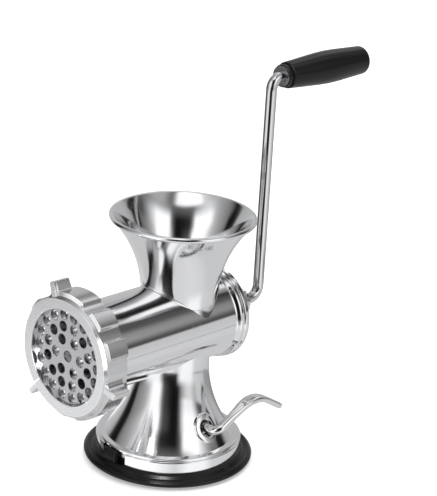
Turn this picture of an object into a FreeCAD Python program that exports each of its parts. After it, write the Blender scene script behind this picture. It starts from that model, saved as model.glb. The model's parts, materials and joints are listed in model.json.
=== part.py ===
import FreeCAD, Part
import math
import os

# Hand crank meat grinder on a suction foot. Sizes are in millimetres and degrees.
# The foot stands on the table at z = 0 with its axis on Z. The barrel lies along Y with its outlet
# towards -Y and the crank at the rear, and the suction lever stands out on the +X side.

Vector = FreeCAD.Vector
along_x = Vector(1, 0, 0)
along_y = Vector(0, 1, 0)
along_z = Vector(0, 0, 1)
margin = 1.0                    # how far a cutting tool runs past the face it cuts
same_point = 1e-6               # points closer than this count as one

# Clearances
running_gap = 0.05              # shaft in its bush, on the radius
face_gap = 0.05                 # flat faces that turn or slide on each other
seat_gap = 0.02                 # pieces pressed or screwed together, on the radius
plate_gap = 0.1                 # mincing plate in its seat, on the radius
thread_gap = 0.08               # ring nut over the barrel's collar, on the radius
soft_gap = 0.35                 # rubber beside another piece
auger_gap = 0.7                 # flights inside the bore, on the radius
knife_gap = 1.55                # blades inside the bore, on the radius
yoke_gap_above = 0.85           # room over the cam, so that the stem can follow the lever evenly
yoke_gap_below = 0.35
yoke_gap_side = 0.6
collar_headroom = 0.8           # between the yoke and the guide collar with the pad let down
disc_headroom = 1.5             # between the press disc and the base plate with the pad lifted

# Barrel
axis_height = 101.4
barrel_d = 62.3
barrel_wall = 3.1
barrel_rear_y = 36.8
barrel_flange_d = 66.6
barrel_flange_length = 5.6
barrel_flange_round = 2.2
collar_wall = 2.9
collar_length = 11.0
collar_slope = 3.0

# Ring nut
outlet_y = -101.8
ring_length = 19.8
ring_wall = 4.1
ring_lip = 3.8
ring_opening_d = 66.0
ring_bevel = 1.7
block_rise = 2.2
block_setback = 2.4
block_slope = 1.4
lug_reach = 9.4
lug_thickness = 4.2
lug_setback = 0.8
lug_bevel = 0.8
lug_length = 13.4
lug_heel = 1.8                  # how much longer the lug is at its foot
lug_count = 3
lug_turn = -17.0
first_block_start = 0.0         # turn from the lug that the block begins in
first_block_sweep = 35.4
middle_block_start = 46.0
middle_block_sweep = 18.0
last_block_start = 76.0
last_block_sweep = 16.4

# Mincing plate and its key
plate_d = 70.0
plate_thickness = 5.0
plate_proud = 1.0
plate_hole_d = 7.6
plate_row_counts = (6, 12, 18)
plate_row_radii = (12.2, 20.8, 29.0)
key_d = 2.8
key_turn = 180.0

# Cross knife and its stud
knife_thickness = 8.0
knife_hub_d = 21.0
knife_blades = 4
blade_front = 9.0
blade_back = 4.0
blade_rake = 1.6
stud_square = 9.0
stud_sunk = 15.0
stud_pin_d = 8.0
stud_pin_short = 0.6

# Auger
core_front_d = 26.0
core_rear_d = 19.0
flight_pitch = 32.0
flight_root = 7.0
flight_edge = 3.6
flight_sunk = 1.5
journal_d = 20.0
journal_length = 13.0
shaft_sunk = 40.0

# Rear cap, bush and shaft
cap_flange_d = 67.8
cap_flange_length = 4.6
cap_flange_round = 1.6
cap_spigot_length = 4.0
cap_spigot_wall = 3.4
cap_shoulder_d = 59.0
cap_shoulder_run = 1.6
cap_web_y = 46.0
cap_web_d = 36.0
cap_cave_run = 4.0
hub_d = 18.8
hub_length = 3.0
hub_end_y = 68.0
hub_round = 1.4
bush_wall = 1.5
bush_flange_d = 24.0
bush_flange = 2.0
bush_recess = 1.4
washer_d = 22.0
washer_thickness = 1.5
shaft_d = 13.0
shaft_recess = 3.6
socket_depth = 18.0

# Crank and grip
rod_d = 8.0
rod_stub_d = 5.0
crank_y = 84.1
crank_radius = 164.1
crank_bend = 8.6
front_washer_d = 15.0
front_washer = 1.0
grip_length = 84.0
grip_nose_d = 16.6
grip_nose = 3.4
grip_groove_d = 14.6
grip_groove = 1.0
grip_front_d = 19.0
grip_belly_d = 24.6
grip_belly_at = 46.0
grip_belly_round = 170.0
grip_rear_d = 20.6
grip_rear_round = 3.6
grip_pocket_d = 15.0
grip_pocket = 12.0
grip_play = 0.2
rear_washer_d = 13.0
rear_washer = 1.2
nut_across = 8.0
nut_sides = 6
nut_thickness = 4.0
nut_stub_past = 1.0
cap_plug = 3.0
cap_dome = 1.4
cap_dome_d = 17.0

# Hopper
hopper_y = 3.4
hopper_rim_d = 102.6
hopper_rim_height = 181.2
hopper_bead_d = 4.2
hopper_lip_in = 0.7
hopper_waist_d = 53.8
hopper_waist_rise = 18.6
hopper_wall = 2.6
neck_lip = 1.6
neck_lip_height = 1.2

# Pedestal
pedestal_waist_d = 52.2
pedestal_waist_drop = 25.4
pedestal_wall = 3.0
pedestal_toe_d = 91.6
ledge_height = 19.5
ledge_d = 100.4
ledge_round = 1.0
band_d = 103.6
band_wall = 3.3
band_bottom = 9.0
band_drop = 1.7
shoulder_width = 5.8
notch_x = -1.8
notch_width = 23.5
notch_below_band = 0.3
boss_d = 19.4
boss_proud = 1.9
boss_mouth_d = 11.4
boss_inner_x = 24.0
blind_boss_d = 14.0
blind_boss_inner_x = 22.0

# Base plate and its screws
base_plate_thickness = 3.0
guide_wall = 3.0
screw_count = 3
screw_turn = 90.0
screw_d = 3.0
screw_head_d = 5.6
screw_head = 1.3
screw_depth = 4.0

# Suction pad
pad_d = 120.4
pad_sole_d = 109.6
pad_edge_low = 2.9
pad_edge_high = 5.0
pad_edge_round = 1.6
pad_brow_d = 115.8
pad_brow_drop = 2.1
pad_brow_round = 1.0
pad_groove_d = 110.8
pad_groove_drop = 2.8
pad_web = 4.5
pad_lip_width = 7.6
tab_x = -4.3
tab_width = 13.2
tab_front = 53.0
tab_below_notch = 0.3
tab_bevel = 1.6
tab_root = 3.0

# Plunger
pad_lift = 5.0
pad_core_d = 50.0
pad_core_thickness = 4.0
press_disc_d = 44.0
press_disc_thickness = 2.5
stem_d = 12.0
yoke_thickness = 6.0
yoke_wall = 4.0

# Lever
lever_height = 34.0
lever_d = 6.4
lever_x = 48.0
lever_bend = 6.0
lever_crown_y = 33.5
lever_crown_rise = 19.8
lever_crown_round = 24.0
lever_end_y = 63.2
lever_end_rise = 3.4
lever_inner_end = 33.0
paddle_width = 9.2
paddle_thickness = 4.9
paddle_root = 3.0               # how far the paddle starts inside the rod
paddle_swell = 0.3              # how much the paddle stands over the rod where the rod ends
paddle_tip = 3.0                # length over which the end is rounded
paddle_blunt_ratio = 0.9        # 1 would bring the tip to a point
cam_d = 14.0
cam_throw = 2.58
cam_width = 8.0
cam_hub_d = 12.0
cam_hub_length = 7.0
cam_pin_d = 2.0
lever_bush_length = 10.0
lever_bush_wall = 1.7
lever_clip_d = 11.0
lever_clip_thickness = 1.0
lever_clip_gap = 0.4

# Worked out along the barrel, front to rear
barrel_r = barrel_d / 2
bore_r = barrel_r - barrel_wall
plate_r = plate_d / 2
seat_r = plate_r + plate_gap
collar_r = seat_r + collar_wall
ring_inner_r = collar_r + thread_gap
ring_outer_r = ring_inner_r + ring_wall
ring_rear_y = outlet_y + ring_length
lip_y = outlet_y + ring_lip
plate_front_y = lip_y + face_gap
plate_rear_y = plate_front_y + plate_thickness
plate_seat_y = plate_rear_y + face_gap
collar_front_y = plate_front_y + plate_proud
collar_rear_y = collar_front_y + collar_length
knife_front_y = plate_rear_y + face_gap
auger_front_y = knife_front_y + knife_thickness
bush_front_y = cap_web_y - bush_flange
auger_rear_y = bush_front_y - face_gap - washer_thickness
flight_rear_y = auger_rear_y - journal_length
flight_r = bore_r - auger_gap
knife_r = bore_r - knife_gap
shaft_r = shaft_d / 2
bush_r = shaft_r + running_gap + bush_wall
shaft_end_y = hub_end_y - shaft_recess
socket_y = shaft_end_y - socket_depth

# Worked out along the grip
handle_height = axis_height + crank_radius
rod_r = rod_d / 2
front_washer_y = crank_y + crank_bend
grip_y = front_washer_y + front_washer + face_gap
grip_end_y = grip_y + grip_length
pocket_y = grip_end_y - grip_pocket
rod_shoulder_y = pocket_y + grip_play
nut_y = rod_shoulder_y + rear_washer
rod_end_y = nut_y + nut_thickness + nut_stub_past

# Worked out up the foot
throat_r = hopper_waist_d / 2 - hopper_wall
hopper_waist_z = axis_height + hopper_waist_rise
pedestal_waist_r = pedestal_waist_d / 2
pedestal_waist_z = axis_height - pedestal_waist_drop
toe_r = pedestal_toe_d / 2
band_r = band_d / 2
foot_bore_r = band_r - band_wall
band_top = ledge_height - band_drop
shoulder_r = toe_r - shoulder_width
lifted_top = pad_lift + pad_core_thickness + press_disc_thickness
base_plate_z = lifted_top + disc_headroom
base_plate_top = base_plate_z + base_plate_thickness
notch_top = band_top - notch_below_band
tab_back = foot_bore_r + soft_gap
pad_hole_r = pad_core_d / 2 + soft_gap
screw_ring_r = (shoulder_r + foot_bore_r) / 2
stem_r = stem_d / 2
cam_r = cam_d / 2
cam_centre_z = lever_height + cam_throw
window_top = cam_centre_z + cam_r + yoke_gap_above
window_bottom = cam_centre_z - cam_r - yoke_gap_below
window_half = cam_r + cam_throw + yoke_gap_side
yoke_bottom = window_bottom - yoke_wall
guide_top = yoke_bottom - pad_lift - collar_headroom
lever_r = lever_d / 2
lever_bore_r = lever_r + running_gap
lever_bush_r = lever_bore_r + lever_bush_wall


def corner_cut(before, corner, after, radius):
    """The start, middle and end of the arc that rounds one corner of a path."""
    back = before - corner
    on = after - corner
    half = back.getAngle(on) / 2
    reach = min(radius / math.tan(half), 0.49 * back.Length, 0.49 * on.Length)
    back.normalize()
    on.normalize()
    fitted = reach * math.tan(half)
    bisector = back + on
    bisector.normalize()
    middle = corner + bisector * (fitted / math.sin(half) - fitted)
    return corner + back * reach, middle, corner + on * reach


def path_edges(corners, closed):
    """Edges through corners given as (point, rounding radius) or as (arc middle, arc end)."""
    edges = []
    count = len(corners)
    points = [c[1] if isinstance(c[1], Vector) else c[0] for c in corners]
    pen = None
    first = None
    for index, (head, tail) in enumerate(corners):
        if isinstance(tail, Vector):
            edges.append(Part.Arc(pen, head, tail).toShape())
            pen = tail
            continue
        inside = closed or 0 < index < count - 1
        if tail > 0 and inside:
            start, middle, end = corner_cut(points[index - 1], head, points[(index + 1) % count], tail)
        else:
            start, middle, end = head, None, head
        if pen is not None and pen.distanceToPoint(start) > same_point:
            edges.append(Part.LineSegment(pen, start).toShape())
        if middle is not None:
            edges.append(Part.Arc(start, middle, end).toShape())
        if first is None:
            first = start
        pen = end
    if closed and pen.distanceToPoint(first) > same_point:
        edges.append(Part.LineSegment(pen, first).toShape())
    return edges


def outline(steps, place):
    """A face from steps (u, v), (u, v, rounding) or (arc middle u, v, arc end u, v)."""
    corners = []
    for step in steps:
        if len(step) == 4:
            corners.append((place(step[0], step[1]), place(step[2], step[3])))
        else:
            corners.append((place(step[0], step[1]), step[2] if len(step) == 3 else 0.0))
    return Part.Face(Part.Wire(path_edges(corners, True)))


def spun(steps, centre_y=0.0):
    """A solid spun about an upright axis from steps of radius and height."""
    face = outline(steps, lambda r, z: Vector(r, centre_y, z))
    return face.revolve(Vector(0, centre_y, 0), along_z, 360)


def turned(steps, height=axis_height, sweep=360.0, start=0.0):
    """A solid turned about an axis along Y from steps of y and radius."""
    face = outline(steps, lambda y, r: Vector(0, y, height + r))
    solid = face.revolve(Vector(0, 0, height), along_y, sweep)
    solid.rotate(Vector(0, 0, height), along_y, start)
    return solid


def rod_y(radius, start, end, height=axis_height, x=0.0):
    """A cylinder along Y."""
    return Part.makeCylinder(radius, end - start, Vector(x, start, height), along_y)


def rod_x(radius, start, end, y=0.0, z=lever_height):
    """A cylinder along X."""
    return Part.makeCylinder(radius, end - start, Vector(start, y, z), along_x)


def rod_z(radius, start, end, x=0.0, y=0.0):
    """A cylinder along Z."""
    return Part.makeCylinder(radius, end - start, Vector(x, y, start), along_z)


def block(x0, x1, y0, y1, z0, z1):
    """A box between two corners."""
    return Part.makeBox(x1 - x0, y1 - y0, z1 - z0, Vector(x0, y0, z0))


def bent_rod(corners, radius):
    """A round rod along a path of straight runs and rounded corners."""
    path = Part.Wire(path_edges(corners, False))
    start = corners[0][0]
    ring = Part.Wire(Part.makeCircle(radius, start, corners[1][0] - start))
    return path.makePipeShell([ring], True, False)


def joined(first, *others):
    """One solid from pieces that meet or overlap."""
    return first.fuse(list(others)).removeSplitter()


def flare_radius(waist_r, waist_z, lip_r, lip_z):
    """Radius of the arc that leaves the waist upright and passes through the lip."""
    run = lip_r - waist_r
    rise = lip_z - waist_z
    return (rise * rise + run * run) / (2 * run)


def flare_at(waist_r, waist_z, bend, z):
    """Radius of a flared wall at a height, where bend is the radius of its arc."""
    return waist_r + bend - math.sqrt(bend * bend - (z - waist_z) ** 2)


def flare_arc(waist_r, waist_z, bend, z_from, z_to):
    """The arc step of a flared wall between two heights."""
    middle = (z_from + z_to) / 2
    return (flare_at(waist_r, waist_z, bend, middle), middle, flare_at(waist_r, waist_z, bend, z_to), z_to)


def barrel_envelope():
    """The round space that the barrel fills, for pieces that are shaped to sit on it."""
    return rod_y(barrel_r, collar_rear_y, barrel_rear_y)


def throat():
    """The upright passage from the hopper into the barrel."""
    return rod_z(throat_r, axis_height, hopper_rim_height, 0.0, hopper_y)


def hopper():
    """Flared funnel with a rolled rim and a thin lip where it sits on the barrel."""
    bead_r = hopper_bead_d / 2
    rim_r = hopper_rim_d / 2
    lip_z = hopper_rim_height - bead_r
    outer_r = hopper_waist_d / 2
    bend = flare_radius(outer_r, hopper_waist_z, rim_r - hopper_lip_in, lip_z)
    inner_bend = bend + hopper_wall
    steps = [
        (throat_r, axis_height),
        (outer_r, axis_height),
        (outer_r, hopper_waist_z),
        flare_arc(outer_r, hopper_waist_z, bend, hopper_waist_z, lip_z),
        (flare_at(throat_r, hopper_waist_z, inner_bend, lip_z), lip_z),
        flare_arc(throat_r, hopper_waist_z, inner_bend, lip_z, hopper_waist_z),
    ]
    wall = spun(steps, hopper_y)
    bead = Part.makeTorus(rim_r - bead_r, bead_r, Vector(0, hopper_y, lip_z), along_z)
    lip_z_top = axis_height + barrel_r + neck_lip_height + margin
    lip = rod_z(outer_r + neck_lip, axis_height, lip_z_top, 0.0, hopper_y)
    lip = lip.common(rod_y(barrel_r + neck_lip_height, collar_rear_y, barrel_rear_y)).cut(throat())
    return joined(wall, bead, lip).cut(barrel_envelope())


def barrel():
    """Tube with a front collar that seats the plate, a rear flange and the feed opening."""
    flange_y = barrel_rear_y - barrel_flange_length
    flange_r = barrel_flange_d / 2
    steps = [
        (collar_front_y, seat_r),
        (collar_front_y, collar_r),
        (collar_rear_y, collar_r),
        (collar_rear_y + collar_slope, barrel_r),
        (flange_y, barrel_r, barrel_flange_round),
        (flange_y + barrel_flange_length / 2, flange_r, barrel_flange_round),
        (barrel_rear_y, flange_r),
        (barrel_rear_y, bore_r),
        (plate_seat_y, bore_r),
        (plate_seat_y, seat_r),
    ]
    return turned(steps).cut(throat()).cut(plate_key_space())


def plate_key_rod(radius):
    """Round bar at the rim of the plate's seat."""
    bar = rod_y(radius, collar_front_y, plate_seat_y, axis_height + seat_r)
    bar.rotate(Vector(0, 0, axis_height), along_y, key_turn)
    return bar


def plate_key_space():
    """Groove for the key in the wall of the seat."""
    return plate_key_rod(key_d / 2 + seat_gap)


def plate_key():
    """Pin that keeps the mincing plate from turning."""
    return plate_key_rod(key_d / 2)


def mincing_plate():
    """Perforated disc with a pivot hole and a notch for the key."""
    disc = rod_y(plate_r, plate_front_y, plate_rear_y)
    front = plate_front_y - margin
    back = plate_rear_y + margin
    tools = [rod_y(stud_pin_d / 2 + running_gap, front, back)]
    for count, ring_r in zip(plate_row_counts, plate_row_radii):
        for index in range(count):
            angle = 2 * math.pi * (index + 0.5) / count
            height = axis_height + ring_r * math.cos(angle)
            tools.append(rod_y(plate_hole_d / 2, front, back, height, ring_r * math.sin(angle)))
    notch = rod_y(key_d / 2 + plate_gap, front, back, axis_height + seat_r)
    notch.rotate(Vector(0, 0, axis_height), along_y, key_turn)
    return disc.cut(tools + [notch])


def ring_block(start, sweep):
    """One raised block on the ring's rim, with a sloped front."""
    root_r = ring_outer_r - margin
    top_r = ring_outer_r + block_rise
    front = outlet_y + block_setback
    steps = [
        (front, root_r),
        (front, ring_outer_r),
        (front + block_slope, top_r),
        (ring_rear_y, top_r),
        (ring_rear_y, root_r),
    ]
    return turned(steps, axis_height, sweep, start)


def ring_lug(turn):
    """One fin that is struck or gripped to turn the ring."""
    tip_r = ring_outer_r + lug_reach
    root_r = ring_outer_r - margin
    front = outlet_y + lug_setback
    steps = [
        (front, root_r),
        (front, tip_r - lug_bevel),
        (front + lug_bevel, tip_r),
        (front + lug_length, tip_r),
        (front + lug_length + lug_heel, root_r),
    ]
    half = lug_thickness / 2
    face = outline(steps, lambda y, r: Vector(-half, y, axis_height + r))
    fin = face.extrude(along_x * lug_thickness)
    fin.rotate(Vector(0, 0, axis_height), along_y, turn)
    return fin


def ring_nut():
    """Ring that screws over the barrel's collar and holds the plate."""
    opening_r = ring_opening_d / 2
    steps = [
        (outlet_y, opening_r),
        (outlet_y, ring_outer_r - ring_bevel),
        (outlet_y + ring_bevel, ring_outer_r),
        (ring_rear_y, ring_outer_r),
        (ring_rear_y, ring_inner_r),
        (lip_y, ring_inner_r),
        (lip_y, opening_r),
    ]
    extras = []
    for index in range(lug_count):
        turn = lug_turn + index * 360.0 / lug_count
        extras.append(ring_block(turn + first_block_start, first_block_sweep))
        extras.append(ring_block(turn + middle_block_start, middle_block_sweep))
        extras.append(ring_block(turn + last_block_start, last_block_sweep))
        extras.append(ring_lug(turn))
    return joined(turned(steps), *extras)


def square_bar(side, start, end):
    """A square bar along the barrel's axis."""
    half = side / 2
    return block(-half, half, start, end, axis_height - half, axis_height + half)


def cross_knife():
    """Hub with four raked blades that run on the plate's rear face."""
    back = knife_front_y + knife_thickness
    hub = rod_y(knife_hub_d / 2, knife_front_y, back)
    half_front = blade_front / 2
    half_back = blade_back / 2
    blades = []
    for index in range(knife_blades):
        steps = [
            (-half_front, knife_front_y),
            (half_front, knife_front_y),
            (half_back + blade_rake, back),
            (blade_rake - half_back, back),
        ]
        face = outline(steps, lambda x, y: Vector(x, y, axis_height))
        blade = face.extrude(along_z * knife_r)
        blade.rotate(Vector(0, 0, axis_height), along_y, index * 360.0 / knife_blades)
        blades.append(blade)
    whole = joined(hub, *blades).common(rod_y(knife_r, knife_front_y, back))
    return whole.cut(square_bar(stud_square + 2 * seat_gap, knife_front_y - margin, back + margin))


def knife_stud():
    """Square stub in the auger's nose, with a round pin that runs in the plate."""
    pin_end = plate_front_y + stud_pin_short
    bar = square_bar(stud_square, knife_front_y, auger_front_y + stud_sunk)
    return joined(bar, rod_y(stud_pin_d / 2, pin_end, knife_front_y + margin))


def flight():
    """Left-handed helical blade, swept along the barrel's axis."""
    length = flight_rear_y - auger_front_y - flight_root
    root_r = min(core_front_d, core_rear_d) / 2 - flight_sunk
    helix = Part.makeLongHelix(flight_pitch, length, root_r, 0, True)
    half_root = flight_root / 2
    half_edge = flight_edge / 2
    corners = [
        Vector(root_r, 0, -half_root),
        Vector(flight_r, 0, -half_edge),
        Vector(flight_r, 0, half_edge),
        Vector(root_r, 0, half_root),
    ]
    section = Part.makePolygon(corners + corners[:1])
    blade = Part.Wire(helix).makePipeShell([section], True, True)
    blade.rotate(Vector(0, 0, 0), along_x, -90)
    blade.translate(Vector(0, auger_front_y + half_root, axis_height))
    return blade


def auger():
    """Worm that feeds the knife, with a rear journal and sockets for the stud and the shaft."""
    core_steps = [
        (auger_front_y, 0.0),
        (auger_front_y, core_front_d / 2),
        (flight_rear_y, core_rear_d / 2),
        (flight_rear_y, journal_d / 2),
        (auger_rear_y, journal_d / 2),
        (auger_rear_y, 0.0),
    ]
    worm = turned(core_steps).fuse(flight())
    stud_hole = square_bar(stud_square + 2 * seat_gap, auger_front_y - margin, auger_front_y + stud_sunk)
    shaft_hole = rod_y(shaft_r + seat_gap, auger_rear_y - shaft_sunk, auger_rear_y + margin)
    return worm.cut(stud_hole).cut(shaft_hole)


def drive_shaft():
    """Steel shaft from the auger through the bush, with a socket for the crank."""
    shaft = rod_y(shaft_r, auger_rear_y - shaft_sunk, shaft_end_y)
    return shaft.cut(rod_y(rod_r + seat_gap, socket_y, shaft_end_y + margin))


def thrust_washer():
    """Washer that takes the auger's push on the bush."""
    end = auger_rear_y + washer_thickness
    washer = rod_y(washer_d / 2, auger_rear_y, end)
    return washer.cut(rod_y(shaft_r + seat_gap, auger_rear_y - margin, end + margin))


def bearing_bush():
    """Flanged sleeve that the shaft turns in."""
    end = hub_end_y - bush_recess
    bush = joined(
        rod_y(bush_flange_d / 2, bush_front_y, cap_web_y),
        rod_y(bush_r, bush_front_y, end),
    )
    return bush.cut(rod_y(shaft_r + running_gap, bush_front_y - margin, end + margin))


def rear_cap():
    """Flanged cone that closes the barrel and holds the bush."""
    spigot_y = barrel_rear_y - cap_spigot_length
    spigot_r = bore_r - seat_gap
    cave_r = spigot_r - cap_spigot_wall
    flange_y = barrel_rear_y + cap_flange_length
    hole_r = bush_r + seat_gap
    steps = [
        (spigot_y, spigot_r),
        (barrel_rear_y, spigot_r),
        (barrel_rear_y, cap_flange_d / 2, cap_flange_round),
        (flange_y, cap_flange_d / 2, cap_flange_round),
        (flange_y + cap_shoulder_run, cap_shoulder_d / 2),
        (hub_end_y - hub_length, hub_d / 2, hub_round),
        (hub_end_y, hub_d / 2, hub_round),
        (hub_end_y, hole_r),
        (cap_web_y, hole_r),
        (cap_web_y, cap_web_d / 2),
        (cap_web_y - cap_cave_run, cave_r),
        (spigot_y, cave_r),
    ]
    return turned(steps)


def crank_arm():
    """Bent round rod from the shaft's socket to the grip, with a stub for the nut."""
    rod = bent_rod(
        [
            (Vector(0, socket_y, axis_height), 0.0),
            (Vector(0, crank_y, axis_height), crank_bend),
            (Vector(0, crank_y, handle_height), crank_bend),
            (Vector(0, rod_shoulder_y, handle_height), 0.0),
        ],
        rod_r,
    )
    return joined(rod, rod_y(rod_stub_d / 2, rod_shoulder_y - margin, rod_end_y, handle_height))


def ring_on_rod(outer_d, inner_r, start, thickness):
    """A washer round the grip's axis."""
    end = start + thickness
    body = rod_y(outer_d / 2, start, end, handle_height)
    return body.cut(rod_y(inner_r, start - margin, end + margin, handle_height))


def front_grip_washer():
    """Washer between the crank's bend and the grip."""
    return ring_on_rod(front_washer_d, rod_r + seat_gap, front_washer_y, front_washer)


def rear_grip_washer():
    """Washer that holds the grip on, under the nut."""
    return ring_on_rod(rear_washer_d, rod_stub_d / 2 + seat_gap, rod_shoulder_y, rear_washer)


def grip_nut():
    """Six-sided nut on the crank's stub."""
    corner_r = nut_across / 2 / math.cos(math.pi / nut_sides)
    points = []
    for index in range(nut_sides + 1):
        angle = 2 * math.pi * index / nut_sides
        points.append(Vector(corner_r * math.sin(angle), nut_y, handle_height + corner_r * math.cos(angle)))
    body = Part.Face(Part.makePolygon(points)).extrude(along_y * nut_thickness)
    hole = rod_y(rod_stub_d / 2 + seat_gap, nut_y - margin, nut_y + nut_thickness + margin, handle_height)
    return body.cut(hole)


def grip():
    """Turning handle with a stepped nose, a swelling belly and a pocket for the nut."""
    bore = rod_r + running_gap
    nose_end = grip_y + grip_nose
    groove_end = nose_end + grip_groove
    steps = [
        (grip_y, bore),
        (grip_y, grip_nose_d / 2, grip_groove),
        (nose_end, grip_nose_d / 2),
        (nose_end, grip_groove_d / 2),
        (groove_end, grip_groove_d / 2),
        (groove_end, grip_front_d / 2, grip_groove),
        (grip_y + grip_belly_at, grip_belly_d / 2, grip_belly_round),
        (grip_end_y, grip_rear_d / 2, grip_rear_round),
        (grip_end_y, grip_pocket_d / 2),
        (pocket_y, grip_pocket_d / 2),
        (pocket_y, bore),
    ]
    return turned(steps, handle_height)


def grip_end_cap():
    """Plug that closes the grip's pocket."""
    steps = [
        (grip_end_y - cap_plug, 0.0),
        (grip_end_y - cap_plug, grip_pocket_d / 2 - seat_gap),
        (grip_end_y, grip_pocket_d / 2 - seat_gap),
        (grip_end_y, cap_dome_d / 2),
        (grip_end_y + cap_dome, cap_dome_d / 2, cap_dome / 2),
        (grip_end_y + cap_dome, 0.0),
    ]
    return turned(steps, handle_height)


def pedestal_steps(extra):
    """Outer outline of the pedestal from the barrel down to the foot, grown outward by extra."""
    bend = flare_radius(pedestal_waist_r, pedestal_waist_z, toe_r, ledge_height)
    waist = pedestal_waist_r + extra
    return [
        (waist, axis_height),
        (waist, pedestal_waist_z),
        flare_arc(waist, pedestal_waist_z, bend, pedestal_waist_z, ledge_height),
        (ledge_d / 2 + extra, ledge_height, ledge_round),
        (ledge_d / 2 + extra, band_top),
        (band_r + extra, band_top, ledge_round),
        (band_r + extra, band_bottom),
    ]


def pedestal_solid(extra):
    """The pedestal's outer form without its hollow."""
    return spun([(0.0, axis_height)] + pedestal_steps(extra) + [(0.0, band_bottom)])


def pedestal():
    """Flared hollow foot with the lever's bosses, the tab's notch and the seat of the base plate."""
    inner_r = pedestal_waist_r - pedestal_wall
    bend = flare_radius(inner_r, pedestal_waist_z, shoulder_r, base_plate_top)
    hollow_steps = [
        (0.0, band_bottom - margin),
        (foot_bore_r, band_bottom - margin),
        (foot_bore_r, base_plate_top),
        (shoulder_r, base_plate_top),
        flare_arc(inner_r, pedestal_waist_z, bend, base_plate_top, pedestal_waist_z),
        (inner_r, axis_height),
        (0.0, axis_height),
    ]
    hollow = spun(hollow_steps)
    shell = pedestal_solid(0.0).cut(hollow)
    boss = rod_x(boss_d / 2, boss_inner_x, band_r).common(pedestal_solid(boss_proud))
    blind = rod_x(blind_boss_d / 2, -band_r, -blind_boss_inner_x).common(pedestal_solid(0.0))
    body = joined(shell, boss, blind).cut(barrel_envelope())
    bush_end = boss_inner_x + lever_bush_length
    notch_half = notch_width / 2
    tools = [
        rod_x(boss_mouth_d / 2, bush_end, band_r),
        rod_x(lever_bush_r + seat_gap, boss_inner_x - margin, band_r),
        rod_x(lever_bore_r, -lever_inner_end - margin, -blind_boss_inner_x + margin),
        block(
            notch_x - notch_half,
            notch_x + notch_half,
            -band_r - margin,
            margin - foot_bore_r,
            band_bottom - margin,
            notch_top,
        ),
    ]
    for x, y in screw_places():
        hole_r = screw_d / 2 + seat_gap
        tools.append(rod_z(hole_r, base_plate_top - margin, base_plate_top + screw_depth, x, y))
    return body.cut(tools)


def lever_bush():
    """Sleeve that the lever turns in."""
    end = boss_inner_x + lever_bush_length
    sleeve = rod_x(lever_bush_r, boss_inner_x, end)
    return sleeve.cut(rod_x(lever_bore_r, boss_inner_x - margin, end + margin))


def screw_places():
    """Where the base plate's screws stand."""
    places = []
    for index in range(screw_count):
        angle = math.radians(screw_turn + index * 360.0 / screw_count)
        places.append((screw_ring_r * math.cos(angle), screw_ring_r * math.sin(angle)))
    return places


def screw_form(x, y, slack, tip):
    """A countersunk screw from the underside of the base plate, grown by slack."""
    head = Part.makeCone(
        screw_head_d / 2 + slack,
        screw_d / 2 + slack,
        screw_head,
        Vector(x, y, base_plate_z),
        along_z,
    )
    return joined(head, rod_z(screw_d / 2 + slack, base_plate_z, tip, x, y))


def base_screws():
    """The screws that hold the base plate, as one group."""
    tip = base_plate_top + screw_depth - seat_gap
    return Part.makeCompound([screw_form(x, y, 0.0, tip) for x, y in screw_places()])


def base_plate():
    """Disc that closes the pedestal, with a collar that guides the stem."""
    disc = rod_z(foot_bore_r - seat_gap, base_plate_z, base_plate_top)
    bore_r_z = stem_r + running_gap
    guide = rod_z(bore_r_z + guide_wall, base_plate_z, guide_top)
    tools = [rod_z(bore_r_z, base_plate_z - margin, guide_top + margin)]
    for x, y in screw_places():
        tools.append(screw_form(x, y, seat_gap, base_plate_top + margin))
    return joined(disc, guide).cut(tools)


def suction_pad():
    """Rubber foot with a lip held inside the band and an upright tab to let the air in."""
    lip_r = foot_bore_r - seat_gap
    lip_inner = lip_r - pad_lip_width
    brow_z = band_bottom - pad_brow_drop
    steps = [
        (pad_hole_r, 0.0),
        (pad_sole_d / 2, 0.0, pad_edge_round),
        (pad_d / 2, pad_edge_low, pad_edge_round),
        (pad_d / 2, pad_edge_high, pad_edge_round / 2),
        (pad_brow_d / 2, brow_z, pad_brow_round),
        (pad_groove_d / 2, band_bottom - pad_groove_drop),
        (band_r, band_bottom),
        (lip_r, band_bottom),
        (lip_r, base_plate_z),
        (lip_inner, base_plate_z),
        (lip_inner, pad_web),
        (pad_hole_r, pad_web),
    ]
    half = tab_width / 2
    tab_steps = [
        (tab_x - half, -tab_back),
        (tab_x - half, -tab_front, tab_bevel / 2),
        (tab_x + half - tab_bevel, -tab_front),
        (tab_x + half, tab_bevel - tab_front),
        (tab_x + half, -tab_back),
    ]
    tab_top = notch_top - tab_below_notch
    face = outline(tab_steps, lambda x, y: Vector(x, y, tab_root))
    return joined(spun(steps), face.extrude(along_z * (tab_top - tab_root)))


def pad_core():
    """Centre of the rubber pad, which the stem lifts to draw the suction."""
    return rod_z(pad_core_d / 2, pad_lift, pad_lift + pad_core_thickness)


def press_disc():
    """Steel disc between the stem and the rubber core."""
    start = pad_lift + pad_core_thickness
    return rod_z(press_disc_d / 2, start, start + press_disc_thickness)


def plunger_stem():
    """Round stem with a window that the cam turns in."""
    half = yoke_thickness / 2
    side = window_half + yoke_wall
    yoke = block(-half, half, -side, side, yoke_bottom, window_top + yoke_wall)
    window = block(-half - margin, half + margin, -window_half, window_half, window_bottom, window_top)
    neck = rod_z(stem_r, lifted_top, yoke_bottom)
    return joined(yoke.cut(window), neck)


def lever_cam():
    """Eccentric disc and hub on the lever's shaft."""
    half = cam_width / 2
    disc = rod_x(cam_r, -half, half, 0.0, cam_centre_z)
    hub = rod_x(cam_hub_d / 2, half - margin, half + cam_hub_length)
    bore = rod_x(lever_r + seat_gap, -half - margin, half + cam_hub_length + margin)
    return joined(disc, hub).cut(bore).cut(cam_pin_rod(cam_pin_d / 2 + seat_gap, cam_hub_d + margin))


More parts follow.
